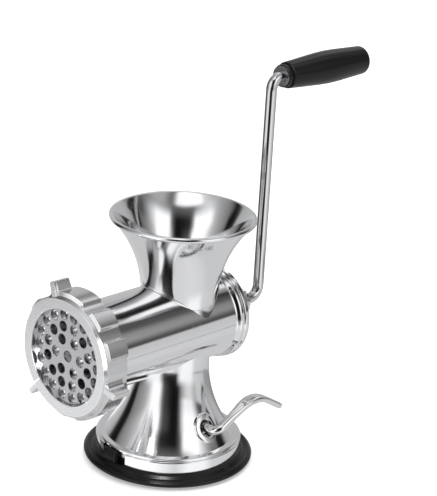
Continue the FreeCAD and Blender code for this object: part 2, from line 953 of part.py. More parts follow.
def cam_pin_rod(radius, length):
    """Upright bar through the cam's hub and the lever's shaft."""
    x = cam_width / 2 + cam_hub_length / 2
    return rod_z(radius, lever_height - length / 2, lever_height + length / 2, x)


def cam_pin():
    """Pin that fixes the cam to the lever."""
    return cam_pin_rod(cam_pin_d / 2, cam_hub_d - margin)


def lever_clip():
    """Ring that keeps the lever from pulling out of its boss."""
    end = boss_inner_x - lever_clip_gap
    start = end - lever_clip_thickness
    return rod_x(lever_clip_d / 2, start, end).cut(rod_x(lever_r + seat_gap, start - margin, end + margin))


def paddle_section(point, run, half_width, half_thickness):
    """An oval ring across the lever at a point, square to its run."""
    across = run.cross(along_x)
    across.normalize()
    oval = Part.Ellipse(point + along_x * half_width, point + across * half_thickness, point)
    return Part.Wire(oval.toShape())


def paddle(corner, crown, tip):
    """Flattened outer end of the lever, lofted through ovals over the crown and down to the tip."""
    top_start, top_middle, top_end = corner_cut(corner, crown, tip, lever_crown_round)
    arc = Part.Arc(top_start, top_middle, top_end).toShape()
    wide = paddle_width / 2
    thick = paddle_thickness / 2
    climb = top_start - corner
    climb.normalize()
    fall = tip - top_end
    fall.normalize()
    root_r = lever_r - paddle_swell
    sections = [paddle_section(top_start - climb * paddle_root, climb, root_r + seat_gap, root_r)]
    steps = 4
    for index in range(steps + 1):
        share = index / steps
        place = arc.FirstParameter + share * (arc.LastParameter - arc.FirstParameter)
        half_width = (1 - share) * (lever_r + 2 * paddle_swell) + share * wide
        half_thickness = (1 - share) * (lever_r + paddle_swell) + share * thick
        point = arc.valueAt(place)
        sections.append(paddle_section(point, arc.tangentAt(place), half_width, half_thickness))
    for index in range(steps + 1):
        share = index / steps
        size = math.sqrt(1 - (paddle_blunt_ratio * share) ** 2)
        point = tip - fall * paddle_tip * (1 - share)
        sections.append(paddle_section(point, fall, wide * size, thick * size))
    return Part.makeLoft(sections, True, False), top_start


def suction_lever():
    """Bent rod that turns in the pedestal, with its outer end flattened to a paddle."""
    start = Vector(-lever_inner_end, 0, lever_height)
    corner = Vector(lever_x, 0, lever_height)
    crown = Vector(lever_x, lever_crown_y, lever_height + lever_crown_rise)
    tip = Vector(lever_x, lever_end_y, lever_height + lever_end_rise)
    end, rod_end = paddle(corner, crown, tip)
    rod = bent_rod([(start, 0.0), (corner, lever_bend), (rod_end, 0.0)], lever_r)
    return joined(rod, end).cut(cam_pin_rod(cam_pin_d / 2 + seat_gap, cam_hub_d))


def main():
    """Build every piece and write it as a STEP file of its own."""
    os.makedirs("parts", exist_ok=True)
    makers = (
        hopper, barrel, plate_key, mincing_plate, ring_nut, cross_knife, knife_stud, auger,
        drive_shaft, thrust_washer, bearing_bush, rear_cap, crank_arm, front_grip_washer,
        rear_grip_washer, grip_nut, grip, grip_end_cap, pedestal, lever_bush, base_plate,
        base_screws, suction_pad, pad_core, press_disc, plunger_stem, lever_cam, cam_pin,
        lever_clip, suction_lever,
    )
    for maker in makers:
        shape = maker()
        solids = len(shape.Solids)
        print(maker.__name__, solids, shape.isValid(), round(shape.Volume, 1))
        shape.exportStep("parts/" + maker.__name__ + ".step")


main()
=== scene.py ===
import json
import logging
import math
from dataclasses import dataclass, replace
from enum import Enum
from typing import Sequence

import bmesh
import bpy
import numpy as np
from bpy.types import ID, Material, NodeSocket, NodeTree, Object
from mathutils import Matrix

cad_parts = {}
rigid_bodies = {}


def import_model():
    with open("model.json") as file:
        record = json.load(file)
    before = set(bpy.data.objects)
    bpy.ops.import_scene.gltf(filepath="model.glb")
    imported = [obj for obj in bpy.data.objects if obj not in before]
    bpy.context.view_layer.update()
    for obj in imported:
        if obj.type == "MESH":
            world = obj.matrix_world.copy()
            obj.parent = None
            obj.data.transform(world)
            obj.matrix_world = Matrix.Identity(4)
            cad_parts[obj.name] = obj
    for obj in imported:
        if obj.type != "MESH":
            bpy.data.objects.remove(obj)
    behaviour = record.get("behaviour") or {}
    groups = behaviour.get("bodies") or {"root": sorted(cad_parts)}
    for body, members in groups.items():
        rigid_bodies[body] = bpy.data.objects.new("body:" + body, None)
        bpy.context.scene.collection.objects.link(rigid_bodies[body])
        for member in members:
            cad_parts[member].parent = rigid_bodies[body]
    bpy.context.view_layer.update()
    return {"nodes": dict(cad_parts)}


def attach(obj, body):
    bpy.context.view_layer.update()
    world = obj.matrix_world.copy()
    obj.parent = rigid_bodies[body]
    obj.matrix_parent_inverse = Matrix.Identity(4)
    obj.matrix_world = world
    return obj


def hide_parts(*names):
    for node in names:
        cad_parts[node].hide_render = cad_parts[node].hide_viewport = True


# Looks of a hand crank meat grinder on a suction foot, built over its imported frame.
# Sizes are in millimetres in the frame of the part: foot on z = 0, barrel along Y with its
# outlet towards -Y, crank at the rear and the suction lever on the +X side.
# An outline is a list of corners, each with the radius of its rounding as its last number.
# POLE is a radius that stands for the axis itself, and HAIR a difference too small to see.

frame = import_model()
LOG = logging.getLogger("grinder")
MM = 0.001
TURN = 2 * math.pi
POLE = 0.001
HAIR = 0.01
Colour = tuple[float, float, float]
Outline = tuple[tuple[float, float, float], ...]


class Body(Enum):
    """Moving bodies of the frame that carry pieces."""

    BODY = "body"
    DRIVE = "drive"
    GRIP = "grip"
    RING = "ring"
    LEVER = "lever"
    PLUNGER = "plunger"


class Slot(Enum):
    """Material slots of the record."""

    POLISHED_STEEL = "polished_steel"
    POLISHED_ROD = "polished_rod"
    SATIN_CASTING = "satin_casting"
    CAST_WORM = "cast_worm"
    GRIP_PLASTIC = "grip_plastic"
    BLACK_RUBBER = "black_rubber"


# Noise of the finishes: broad patches, fine grain, hairline scratches and worn edges.
PATCHES_PER_METRE = 22.0
PATCH_DETAIL = 2.0
PATCH_SHARE = 0.6
GRAIN_DETAIL = 4.0
GRAIN_ROUGH = 0.6
SCRATCHES_PER_METRE = 55.0
SCRATCH_STRETCH = (1.0, 0.35, 0.6)
SCRATCH_WIDTH = 0.012
SCRATCH_GAPS = 0.37
SCRATCH_FADE = (0.5, 0.62)
WORN_EDGE = (0.505, 0.56)
WORN_PATCHES = (0.1, 0.5)
WORN_POLISH = 0.45
LEAST_ROUGH = 0.02


class Wire:
    """A shader socket that takes part in Python arithmetic."""

    def __init__(self, shade: "Shade", socket: NodeSocket) -> None:
        """Keep the socket and the node tree that it belongs to."""
        self.shade = shade
        self.socket = socket

    def _math(self, operation: str, first: object, second: object) -> "Wire":
        """Add one Math node for an operation on two values."""
        return self.shade.node("ShaderNodeMath", {"operation": operation}, {0: first, 1: second})

    def __add__(self, other: object) -> "Wire":
        """Sum."""
        return self._math("ADD", self, other)

    def __radd__(self, other: object) -> "Wire":
        """Sum with the wire on the right."""
        return self._math("ADD", other, self)

    def __sub__(self, other: object) -> "Wire":
        """Difference."""
        return self._math("SUBTRACT", self, other)

    def __rsub__(self, other: object) -> "Wire":
        """Difference with the wire on the right."""
        return self._math("SUBTRACT", other, self)

    def __mul__(self, other: object) -> "Wire":
        """Product."""
        return self._math("MULTIPLY", self, other)

    def __rmul__(self, other: object) -> "Wire":
        """Product with the wire on the right."""
        return self._math("MULTIPLY", other, self)

    def at_least(self, other: object) -> "Wire":
        """The larger of two values."""
        return self._math("MAXIMUM", self, other)

    def size(self) -> "Wire":
        """The value without its sign."""
        return self._math("ABSOLUTE", self, 0.0)

    def ramp(self, low: float, high: float) -> "Wire":
        """A share that goes smoothly from 0 at low to 1 at high."""
        limits = {0: self, 1: low, 2: high, 3: 0.0, 4: 1.0}
        return self.shade.node("ShaderNodeMapRange", {"interpolation_type": "SMOOTHSTEP"}, limits)


class Shade:
    """A node tree under construction."""

    def __init__(self, tree: NodeTree) -> None:
        """Start from an empty tree."""
        self.tree = tree
        self.tree.nodes.clear()

    def node(self, kind: str, settings: dict, inputs: dict, output: object = 0) -> Wire:
        """Add a node.

        Args:
            kind: The node's type name.
            settings: Its properties, set first; "stops" holds a colour ramp's (place, colour) pairs.
            inputs: Values or wires by socket name or number.
            output: Name or number of the socket to hand back.

        Returns:
            The chosen output as a wire.
        """
        made = self.tree.nodes.new(kind)
        for key, value in settings.items():
            if key == "stops":
                ramp = made.color_ramp.elements
                while len(ramp) < len(value):
                    ramp.new(0.5)
                for stop, (place, colour) in zip(ramp, value):
                    stop.position = place
                    stop.color = (*colour, 1.0)
            else:
                setattr(made, key, value)
        for key, value in inputs.items():
            if isinstance(value, Wire):
                self.tree.links.new(value.socket, made.inputs[key])
            else:
                made.inputs[key].default_value = value
        outputs = made.outputs
        return Wire(self, outputs[output]) if len(outputs) else Wire(self, None)

    def place(self, stretch: Sequence[float] = (1.0, 1.0, 1.0)) -> Wire:
        """Object coordinates, stretched along each axis."""
        where = self.node("ShaderNodeTexCoord", {}, {}, "Object")
        return self.node("ShaderNodeMapping", {}, {"Vector": where, "Scale": tuple(stretch)})

    def grain(self, where: Wire, scale: float, detail: float, rough: float = 0.5) -> Wire:
        """Noise between 0 and 1 whose grains are about 1 / scale metres wide."""
        inputs = {"Vector": where, "Scale": scale, "Detail": detail, "Roughness": rough}
        return self.node("ShaderNodeTexNoise", {}, inputs)

    def hairlines(self, where: Wire, scale: float) -> Wire:
        """Fine broken lines: 1 where a noise crosses its middle value, kept only in some patches."""
        crossing = 1 - (self.grain(where, scale, 1.0) - 0.5).size().ramp(0.0, SCRATCH_WIDTH)
        return crossing * self.grain(where, scale * SCRATCH_GAPS, 1.0).ramp(*SCRATCH_FADE)

    def blend(self, share: Wire, low: object, high: object) -> Wire:
        """A colour between two, by a share from 0 to 1."""
        low, high = (c if isinstance(c, Wire) else (*c, 1.0) for c in (low, high))
        return self.node("ShaderNodeMix", {"data_type": "RGBA"}, {"Factor": share, 6: low, 7: high}, 2)

    def bump(self, height: Wire, depth: float) -> Wire:
        """A normal tilted by a height map that is depth metres deep."""
        inputs = {"Height": height, "Distance": depth, "Strength": 1.0}
        return self.node("ShaderNodeBump", {}, inputs, "Normal")


def grey(value: float, blue: float = 0.0) -> Colour:
    """A grey with a little more blue."""
    return (value, value, value + blue)


@dataclass(frozen=True)
class Finish:
    """A surface finish, and how its colour, gloss and relief vary.

    Attributes:
        name: Name of the material, which no slot of the record may have.
        light: Colour of its lighter patches.
        dark: Colour of its darker patches.
        rough: Its mean roughness.
        spread: How far the roughness varies.
        grain: Grains per metre of its relief.
        depth: Depth of the relief in metres.
        metallic: 1 for bare metal and 0 for rubber and plastic.
        stretch: Stretch of the grain along X, Y and Z, small along its polishing lines.
        shine: Level of its mirror reflection, 0.5 for common plastics.
        scratched: How much its hairline scratches roughen it.
        worn: How far its edges are rubbed bright, from 0 to 1.
        rubbed: Colour of rubbed edges.
    """

    name: str
    light: Colour
    dark: Colour
    rough: float
    spread: float
    grain: float
    depth: float
    metallic: float = 1.0
    stretch: tuple[float, float, float] = (1.0, 1.0, 1.0)
    shine: float = 0.5
    scratched: float = 0.0
    worn: float = 0.0
    rubbed: Colour = grey(0.95)

    def material(self) -> Material:
        """The finish as a material, made once and shared.

        Colour follows broad patches and the fine grain. Roughness adds hairlines to both, and worn
        edges, which stand out from the surface around them, are brighter and smoother.

        Returns:
            The material.
        """
        known = bpy.data.materials.get(self.name)
        if known:
            return known
        made = bpy.data.materials.new(self.name)
        made.use_nodes = True
        shade = Shade(made.node_tree)
        where = shade.place(self.stretch)
        patches = shade.grain(shade.place(), PATCHES_PER_METRE, PATCH_DETAIL)
        fine = shade.grain(where, self.grain, GRAIN_DETAIL, GRAIN_ROUGH)
        colour = shade.blend(patches * PATCH_SHARE + fine * (1 - PATCH_SHARE), self.dark, self.light)
        rough = patches * self.spread + fine * self.spread + (self.rough - self.spread)
        if self.scratched:
            lines = shade.hairlines(shade.place(SCRATCH_STRETCH), SCRATCHES_PER_METRE)
            rough = rough + lines * self.scratched
        if self.worn:
            edge = shade.node("ShaderNodeNewGeometry", {}, {}, "Pointiness").ramp(*WORN_EDGE)
            edge = edge * patches.ramp(*WORN_PATCHES) * self.worn
            colour = shade.blend(edge, colour, self.rubbed)
            rough = rough * (1 - edge * WORN_POLISH)
        inputs = {
            "Base Color": colour,
            "Metallic": self.metallic,
            "Roughness": rough.at_least(LEAST_ROUGH),
            "Normal": shade.bump(fine, self.depth),
            "Specular IOR Level": self.shine,
        }
        surface = shade.node("ShaderNodeBsdfPrincipled", {}, inputs)
        shade.node("ShaderNodeOutputMaterial", {}, {"Surface": surface})
        return made


UPRIGHT_STEEL = Finish(
    "polished_steel_upright", grey(0.9), grey(0.85, 0.01), rough=0.1, spread=0.02, grain=700.0, depth=8e-7,
    stretch=(0.04, 0.04, 1.0), scratched=0.04,
)
LYING_STEEL = replace(UPRIGHT_STEEL, name="polished_steel_lying", stretch=(0.04, 1.0, 0.04))
BRIGHT_ROD = Finish(
    "bright_rod", grey(0.88), grey(0.8, 0.01), rough=0.065, spread=0.02, grain=500.0, depth=4e-7,
    scratched=0.03,
)
DRAWN_ROD = replace(BRIGHT_ROD, name="drawn_rod", light=grey(0.74), dark=grey(0.68, 0.01), depth=3e-7)
SATIN_CAST = Finish(
    "satin_cast", grey(0.8), grey(0.62, 0.01), rough=0.2, spread=0.04, grain=900.0, depth=2e-5,
    metallic=0.94, scratched=0.04, worn=0.9,
)
CAST_WORM = Finish(
    "worm_casting", grey(0.62), grey(0.46, 0.01), rough=0.36, spread=0.1, grain=600.0, depth=6e-5, worn=0.8
)
GROUND_STEEL = Finish(
    "ground_steel", grey(0.7, 0.01), grey(0.54, 0.02), rough=0.27, spread=0.08, grain=700.0, depth=1e-5,
    stretch=(1.0, 6.0, 0.15), scratched=0.08,
)
BLACKED_STEEL = Finish(
    "blacked_steel", grey(0.07, 0.003), grey(0.04, 0.003), rough=0.34, spread=0.06, grain=900.0, depth=1e-5,
    scratched=0.06, worn=0.6, rubbed=grey(0.45, 0.01),
)
BEARING_BRONZE = Finish(
    "bearing_bronze", (0.62, 0.43, 0.2), (0.48, 0.32, 0.14), rough=0.3, spread=0.08, grain=800.0, depth=1e-5,
    scratched=0.05,
)
BEARING_PLASTIC = Finish(
    "bearing_plastic", grey(0.03, 0.001), grey(0.018, 0.001), rough=0.5, spread=0.06, grain=1500.0,
    depth=2e-5, metallic=0.0,
)
GRIP_PLASTIC = Finish(
    "smooth_black_plastic", grey(0.009, 0.0004), grey(0.005, 0.0003), rough=0.24, spread=0.05, grain=1700.0,
    depth=1.5e-5, metallic=0.0, shine=0.22, scratched=0.06, worn=0.25, rubbed=grey(0.05),
)
PAD_RUBBER = Finish(
    "pad_rubber", grey(0.009, 0.0005), grey(0.004, 0.0005), rough=0.22, spread=0.05, grain=1300.0,
    depth=1.5e-5, metallic=0.0, shine=0.22, scratched=0.05, worn=0.2, rubbed=grey(0.04),
)

MOST_OF_A_RUN = 0.49
LONG_RUN = 1.5
RUN_INSET, RUN_SHARE = 0.35, 0.2
RUN_POINTS = 6


def rounded_line(corners: Sequence[Sequence[float]], closed: bool = False, step: float = 5.0) -> np.ndarray:
    """Points along a line whose corners are rounded by arcs.

    At each corner the arc of the given radius touches both runs at radius / tan(half the angle)
    from the corner. Its points turn evenly between those two. Each long run gets a point close
    to either end, so that its shading stays straight.

    Args:
        corners: Points in two or three dimensions, each followed by its radius, 0 for a sharp corner.
        closed: Whether the line returns to its start.
        step: Degrees of turn between arc points.

    Returns:
        The points, one per row.
    """
    table = np.asarray(corners, float)
    points, rounds = table[:, :-1], table[:, -1]
    count = len(points)
    stretches = []
    for index, (here, radius) in enumerate(zip(points, rounds)):
        if radius <= 0 or (not closed and index in (0, count - 1)):
            stretches.append(here[None, :])
            continue
        back = points[index - 1] - here
        on = points[(index + 1) % count] - here
        back_length = np.linalg.norm(back)
        on_length = np.linalg.norm(on)
        back = back / back_length
        on = on / on_length
        half = math.acos(float(np.clip(back @ on, -1, 1))) / 2
        reach = min(radius / math.tan(half), MOST_OF_A_RUN * back_length, MOST_OF_A_RUN * on_length)
        fitted = reach * math.tan(half)
        bisector = (back + on) / np.linalg.norm(back + on)
        centre = here + bisector * fitted / math.sin(half)
        first = here + back * reach - centre
        last = here + on * reach - centre
        turn = math.pi - 2 * half
        share = np.linspace(0, 1, max(3, int(math.degrees(turn) / step) + 2))[:, None]
        arc = (np.sin((1 - share) * turn) * first + np.sin(share * turn) * last) / math.sin(turn)
        stretches.append(centre + arc)
    filled = []
    for index, stretch in enumerate(stretches):
        filled.append(stretch)
        start = stretch[-1]
        end = stretches[(index + 1) % count][0]
        length = np.linalg.norm(end - start)
        if length > LONG_RUN and (closed or index < count - 1):
            inset = min(RUN_INSET, RUN_SHARE * length) / length
            shares = np.linspace(inset, 1 - inset, RUN_POINTS)[:, None]
            filled.append(start + shares * (end - start))
    return np.concatenate(filled)


def smooth(s: np.ndarray) -> np.ndarray:
    """A share that leaves 0 and reaches 1 without a kink: 3 s^2 - 2 s^3."""
    return 3 * s * s - 2 * s**3


def flare(waist_r: float, waist_z: float, bend: float, z: np.ndarray) -> np.ndarray:
    """Radius of a flared wall: waist + bend - sqrt(bend^2 - (z - waist height)^2)."""
    return waist_r + bend - np.sqrt(bend * bend - (z - waist_z) ** 2)


def flare_bend(waist_r: float, waist_z: float, lip_r: float, lip_z: float) -> float:
    """Radius of the arc that leaves the waist upright and passes through the lip."""
    return ((lip_z - waist_z) ** 2 + (lip_r - waist_r) ** 2) / (2 * (lip_r - waist_r))


def even_angles(segments: int) -> np.ndarray:
    """One row of even angles round a turn."""
    return np.linspace(0, TURN, segments, endpoint=False)[None, :]


def about_y(r: np.ndarray, y: np.ndarray, angle: np.ndarray, height: float) -> np.ndarray:
    """Points round an axis along Y: (r sin a, y, height + r cos a)."""
    return np.stack(np.broadcast_arrays(r * np.sin(angle), y, height + r * np.cos(angle)), -1)


def about_z(r: np.ndarray, z: np.ndarray, angle: np.ndarray, centre_y: float = 0.0) -> np.ndarray:
    """Points round an upright axis: (r cos a, centre + r sin a, z)."""
    return np.stack(np.broadcast_arrays(r * np.cos(angle), centre_y + r * np.sin(angle), z), -1)


def from_hole(r: np.ndarray, along: np.ndarray, centre: float, hole_r: float, segments: int) -> np.ndarray:
    """Angles of columns that start and end at a round hole in a turned wall.

    At each row the angle runs from e to 2 pi - e, with e = asin(sqrt(hole^2 - (along - centre)^2) / r)
    beside the hole and 0 elsewhere.

    Args:
        r: Radius of the wall.
        along: Place along the wall's axis.
        centre: Place of the hole along that axis.
        hole_r: Radius of the hole.
        segments: Steps round the wall.

    Returns:
        The angles.
    """
    start = np.arcsin(np.sqrt(np.maximum(hole_r**2 - (along - centre) ** 2, 0.0)) / r)
    return start + np.linspace(0, 1, segments + 1)[None, :] * (TURN - 2 * start)


@dataclass
class Patch:
    """A grid of points in millimetres, which may close on itself along its rows or columns."""

    points: np.ndarray
    wrap_rows: bool = False
    wrap_columns: bool = False

    def faces(self, offset: int) -> np.ndarray:
        """Quads between neighbouring points of the grid.

        Args:
            offset: Number of the grid's first point.

        Returns:
            Four point numbers per quad.
        """
        rows, columns = self.points.shape[:2]
        r, c = np.meshgrid(
            np.arange(rows if self.wrap_rows else rows - 1),
            np.arange(columns if self.wrap_columns else columns - 1),
            indexing="ij",
        )
        r1, c1 = (r + 1) % rows, (c + 1) % columns
        quads = np.stack([r * columns + c, r * columns + c1, r1 * columns + c1, r1 * columns + c], -1)
        return quads.reshape(-1, 4) + offset


def turned(corners: Sequence[Sequence[float]], height: float, segments: int) -> Patch:
    """A closed outline of (y, radius) corners turned about an axis along Y."""
    y, r = rounded_line(corners, True).T[:, :, None]
    return Patch(about_y(r, y, even_angles(segments), height), True, True)


def spun(profile: np.ndarray, segments: int) -> Patch:
    """Rows of (radius, z) turned about the foot's upright axis."""
    r, z = profile.T[:, :, None]
    return Patch(about_z(r, z, even_angles(segments)), True, True)


def capped(rings: np.ndarray) -> Patch:
    """A row of closed rings, shut at both ends by a fan to the ring's middle."""
    first, last = (np.broadcast_to(rings[end].mean(0), rings[:1].shape) for end in (0, -1))
    return Patch(np.concatenate([first, rings, last]), False, True)


def hole_walls(points: np.ndarray, outside: int, inside: int, count: int) -> list[Patch]:
    """Strips that close the wall of a hole.

    Args:
        points: Grid of a turned wall whose columns start and end at the hole.
        outside: First row of the hole on the outside.
        inside: First row of the hole on the inside, where it runs the other way.
        count: Rows along the hole.

    Returns:
        One strip for either side.
    """
    outer = points[outside : outside + count]
    inner = points[inside : inside + count][::-1]
    return [Patch(np.stack([outer[:, side], inner[:, side]])) for side in (0, -1)]


WELD = 2e-6
SLIVER = 1e-7


def hang(name: str, data: ID) -> Object:
    """Put a mesh, a lamp or a camera into the scene.

    Args:
        name: Name of the object.
        data: What it shows.

    Returns:
        The new object.
    """
    made = bpy.data.objects.new(name, data)
    bpy.context.scene.collection.objects.link(made)
    return made


def piece(
    name: str,
    patches: Sequence[Patch],
    body: Body,
    finish: Finish,
    stands_for: Sequence[str] = (),
    sharp: float = 32.0,
) -> Object:
    """Make one piece from its patches, let it ride on a body and give it its finish.

    Args:
        name: Name of the piece.
        patches: Grids that together close the surface.
        body: Body of the frame that it moves with.
        finish: Its finish.
        stands_for: Nodes of the frame that it replaces.
        sharp: Edges that turn by more degrees than this stay crisp.

    Returns:
        The new object.
    """
    offsets = np.cumsum([0] + [p.points.shape[0] * p.points.shape[1] for p in patches])
    vertices = np.concatenate([p.points.reshape(-1, 3) for p in patches]) * MM
    faces = np.concatenate([p.faces(o) for p, o in zip(patches, offsets)])
    mesh = bpy.data.meshes.new(name)
    mesh.from_pydata(vertices.tolist(), [], faces.tolist())
    work = bmesh.new()
    work.from_mesh(mesh)
    bmesh.ops.remove_doubles(work, verts=work.verts, dist=WELD)
    bmesh.ops.dissolve_degenerate(work, edges=work.edges, dist=SLIVER)
    bmesh.ops.recalc_face_normals(work, faces=work.faces)
    work.to_mesh(mesh)
    work.free()
    mesh.polygons.foreach_set("use_smooth", np.ones(len(mesh.polygons), bool))
    mesh.set_sharp_from_angle(angle=math.radians(sharp))
    made = hang(name, mesh)
    mesh.materials.append(finish.material())
    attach(made, body.value)
    if stands_for:
        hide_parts(*stands_for)
    LOG.info("%s: %d faces on %s", name, len(mesh.polygons), body.value)
    return made


def tube(
    path: np.ndarray,
    across: np.ndarray,
    wide: np.ndarray,
    deep: np.ndarray,
    square: np.ndarray | float = 0.0,
    segments: int = 48,
) -> Patch:
    """An oval section carried along a path and closed to a point at both ends.

    The frame at each path point has the tangent, a side direction that is turned as little as
    possible from the one before, and their cross product. The section is wide along the cross
    product and deep along the side. Its points are (wide c |c|^-k, deep s |s|^-k), where c and s are
    the cosine and sine round the section and k is 0 for an ellipse and larger for a squarer section.

    Args:
        path: Points of the centre line.
        across: Side direction at the first point.
        wide: Half widths along the path.
        deep: Half depths along the path.
        square: How square the section is along the path, from 0 to under 1.
        segments: Points round the section.

    Returns:
        The closed grid.
    """
    tangent = np.gradient(path, axis=0)
    tangent /= np.linalg.norm(tangent, axis=1)[:, None]
    side = np.empty_like(path)
    side[0] = across
    for index in range(1, len(path)):
        carried = side[index - 1] - tangent[index] * (side[index - 1] @ tangent[index])
        side[index] = carried / np.linalg.norm(carried)
    third = np.cross(tangent, side)
    angle = even_angles(segments)
    power = 1 - np.broadcast_to(square, len(path))[:, None]
    c, s = (np.sign(v) * np.abs(v) ** power for v in (np.cos(angle), np.sin(angle)))
    rings = (
        path[:, None, :]
        + (wide[:, None] * c)[..., None] * third[:, None, :]
        + (deep[:, None] * s)[..., None] * side[:, None, :]
    )
    return capped(rings)


@dataclass
class Layout:
    """Sizes that more than one sub-assembly shares."""

    axis: float = 101.4
    barrel_r: float = 31.15
    bore_r: float = 28.05
    hopper_y: float = 3.4
    throat_r: float = 24.3
    barrel_rear: float = 36.8
    lever_z: float = 34.0
    handle_z: float = 265.5


@dataclass
class Hopper:
    """Flared funnel with a rolled rim, shaped at its foot to the barrel."""

    layout: Layout
    rim_r: float = 51.3
    rim_z: float = 181.2
    bead_r: float = 1.8
    bead_start: float = -65.0
    bead_rows: int = 34
    lip_in: float = 0.7
    waist_r: float = 26.9
    waist_z: float = 120.0
    wall: float = 2.6
    foot_r: float = 27.85
    foot_lip: float = 0.9
    foot_lip_height: float = 0.8
    foot_lip_end: int = 8
    foot_sunk: float = 0.15
    foot_spread: float = 1.2
    tip_swell: float = 1.3
    tip_sharpness: float = 24.0
    low_share: float = 0.09
    low_rows: int = 22
    rows: int = 72
    segments: int = 192

    def saddle(self, x: np.ndarray) -> np.ndarray:
        """Height of the barrel's top at a distance from its axis: axis + sqrt(R^2 - x^2)."""
        return self.layout.axis + np.sqrt(self.layout.barrel_r**2 - x * x)

    def build(self) -> Object:
        """The closed wall: up the outside, round the bead and down the inside.

        The bead ends where it touches the inner flare, on the line from the flare's centre through
        its own: angle = atan2(lip - waist height, bead's centre - flare's centre).

        The foot's radius is that of its lip plus swell * |cos(angle)|^sharpness, which draws it down to
        a tip on either side of the barrel. Below the waist the wall widens to it as depth^spread. On
        top of that comes the foot lip, which fades as exp(-(height / lip height)^2) and towards the tip
        as 1 - |cos(angle)|^end.

        Returns:
            The hopper.
        """
        lip_z = self.rim_z - self.bead_r
        bend = flare_bend(self.waist_r, self.waist_z, self.rim_r - self.lip_in, lip_z)
        angle = even_angles(self.segments)
        low_rise = np.linspace(0, self.low_share, self.low_rows)[:-1]
        rise = np.concatenate([low_rise, np.linspace(self.low_share, 1, self.rows)])[:, None]
        towards_tip = np.abs(np.cos(angle))
        foot_r = self.foot_r + self.tip_swell * towards_tip**self.tip_sharpness
        foot_lip = self.foot_lip * (1 - towards_tip**self.foot_lip_end)
        foot_z = self.saddle(foot_r * np.cos(angle)) - self.foot_sunk
        outer_z = foot_z + rise * (lip_z - foot_z)
        outer_r = flare(self.waist_r, self.waist_z, bend, np.maximum(outer_z, self.waist_z))
        depth = np.clip((self.waist_z - outer_z) / np.maximum(self.waist_z - foot_z, 1.0), 0, 1)
        outer_r = outer_r + (foot_r - foot_lip - self.waist_r) * depth**self.foot_spread
        outer_r = outer_r + foot_lip * np.exp(-(((outer_z - foot_z) / self.foot_lip_height) ** 2))
        bead_centre = self.rim_r - self.bead_r
        touch = math.atan2(lip_z - self.waist_z, bead_centre - self.waist_r - bend)
        turn = np.linspace(math.radians(self.bead_start), touch, self.bead_rows)[:, None]
        bead_r = bead_centre + self.bead_r * np.cos(turn) + 0 * angle
        bead_z = lip_z + self.bead_r * np.sin(turn) + 0 * angle
        inner_waist = self.waist_r - self.wall
        inner_foot = self.saddle(inner_waist * np.cos(angle))
        inner_z = inner_foot + rise[-2::-1] * (lip_z + self.bead_r * math.sin(touch) - inner_foot)
        inner_r = flare(inner_waist, self.waist_z, bend + self.wall, np.maximum(inner_z, self.waist_z))
        r = np.concatenate([outer_r[:-1], bead_r, inner_r])
        z = np.concatenate([outer_z[:-1], bead_z, inner_z])
        patches = [Patch(about_z(r, z, angle, self.layout.hopper_y), True, True)]
        return piece("hopper_wall", patches, Body.BODY, UPRIGHT_STEEL, ["hopper"])


@dataclass
class Barrel:
    """Tube with a hidden front collar, a rear flange and a feed opening on top."""

    layout: Layout
    collar_front: float = -96.95
    collar_rear: float = -85.95
    collar_r: float = 38.0
    collar_round: float = 0.4
    seat_r: float = 35.1
    seat_y: float = -92.9
    slope: float = 3.0
    flange_r: float = 33.3
    flange_length: float = 5.6
    flange_round: float = 3.0
    rear_round: float = 0.5
    hole_rows: int = 61
    segments: int = 200

    def build(self) -> Object:
        """The tube as a closed profile carried round its axis, with columns that start at the opening.

        Returns:
            The barrel.
        """
        lay = self.layout
        rear = lay.barrel_rear
        flange_y = rear - self.flange_length
        opening = lay.hopper_y - lay.throat_r * np.cos(np.linspace(0, np.pi, self.hole_rows))
        front = rounded_line([
            (self.collar_front, self.seat_r, 0),
            (self.collar_front, self.collar_r, self.collar_round),
            (self.collar_rear, self.collar_r, 0),
            (self.collar_rear + self.slope, lay.barrel_r, 0),
            (opening[0], lay.barrel_r, 0),
        ])
        back = rounded_line([
            (opening[-1], lay.barrel_r, 0),
            (flange_y, lay.barrel_r, self.flange_round),
            (flange_y + self.flange_length / 2, self.flange_r, self.flange_round),
            (rear, self.flange_r, self.rear_round),
            (rear, lay.bore_r, 0),
            (opening[-1], lay.bore_r, 0),
        ])
        seat = rounded_line([
            (opening[0], lay.bore_r, 0), (self.seat_y, lay.bore_r, 0), (self.seat_y, self.seat_r, 0)
        ])
        outer = np.stack([opening, np.full_like(opening, lay.barrel_r)], -1)
        inner = np.stack([opening[::-1], np.full_like(opening, lay.bore_r)], -1)
        profile = np.concatenate([front[:-1], outer, back[1:-1], inner, seat[1:]])
        y, r = profile.T[:, :, None]
        points = about_y(r, y, from_hole(r, y, lay.hopper_y, lay.throat_r, self.segments), lay.axis)
        first = len(front) - 1
        walls = hole_walls(points, first, first + len(outer) + len(back) - 2, len(outer))
        patches = [Patch(points, True), *walls]
        return piece("barrel_tube", patches, Body.BODY, LYING_STEEL, ["barrel"])


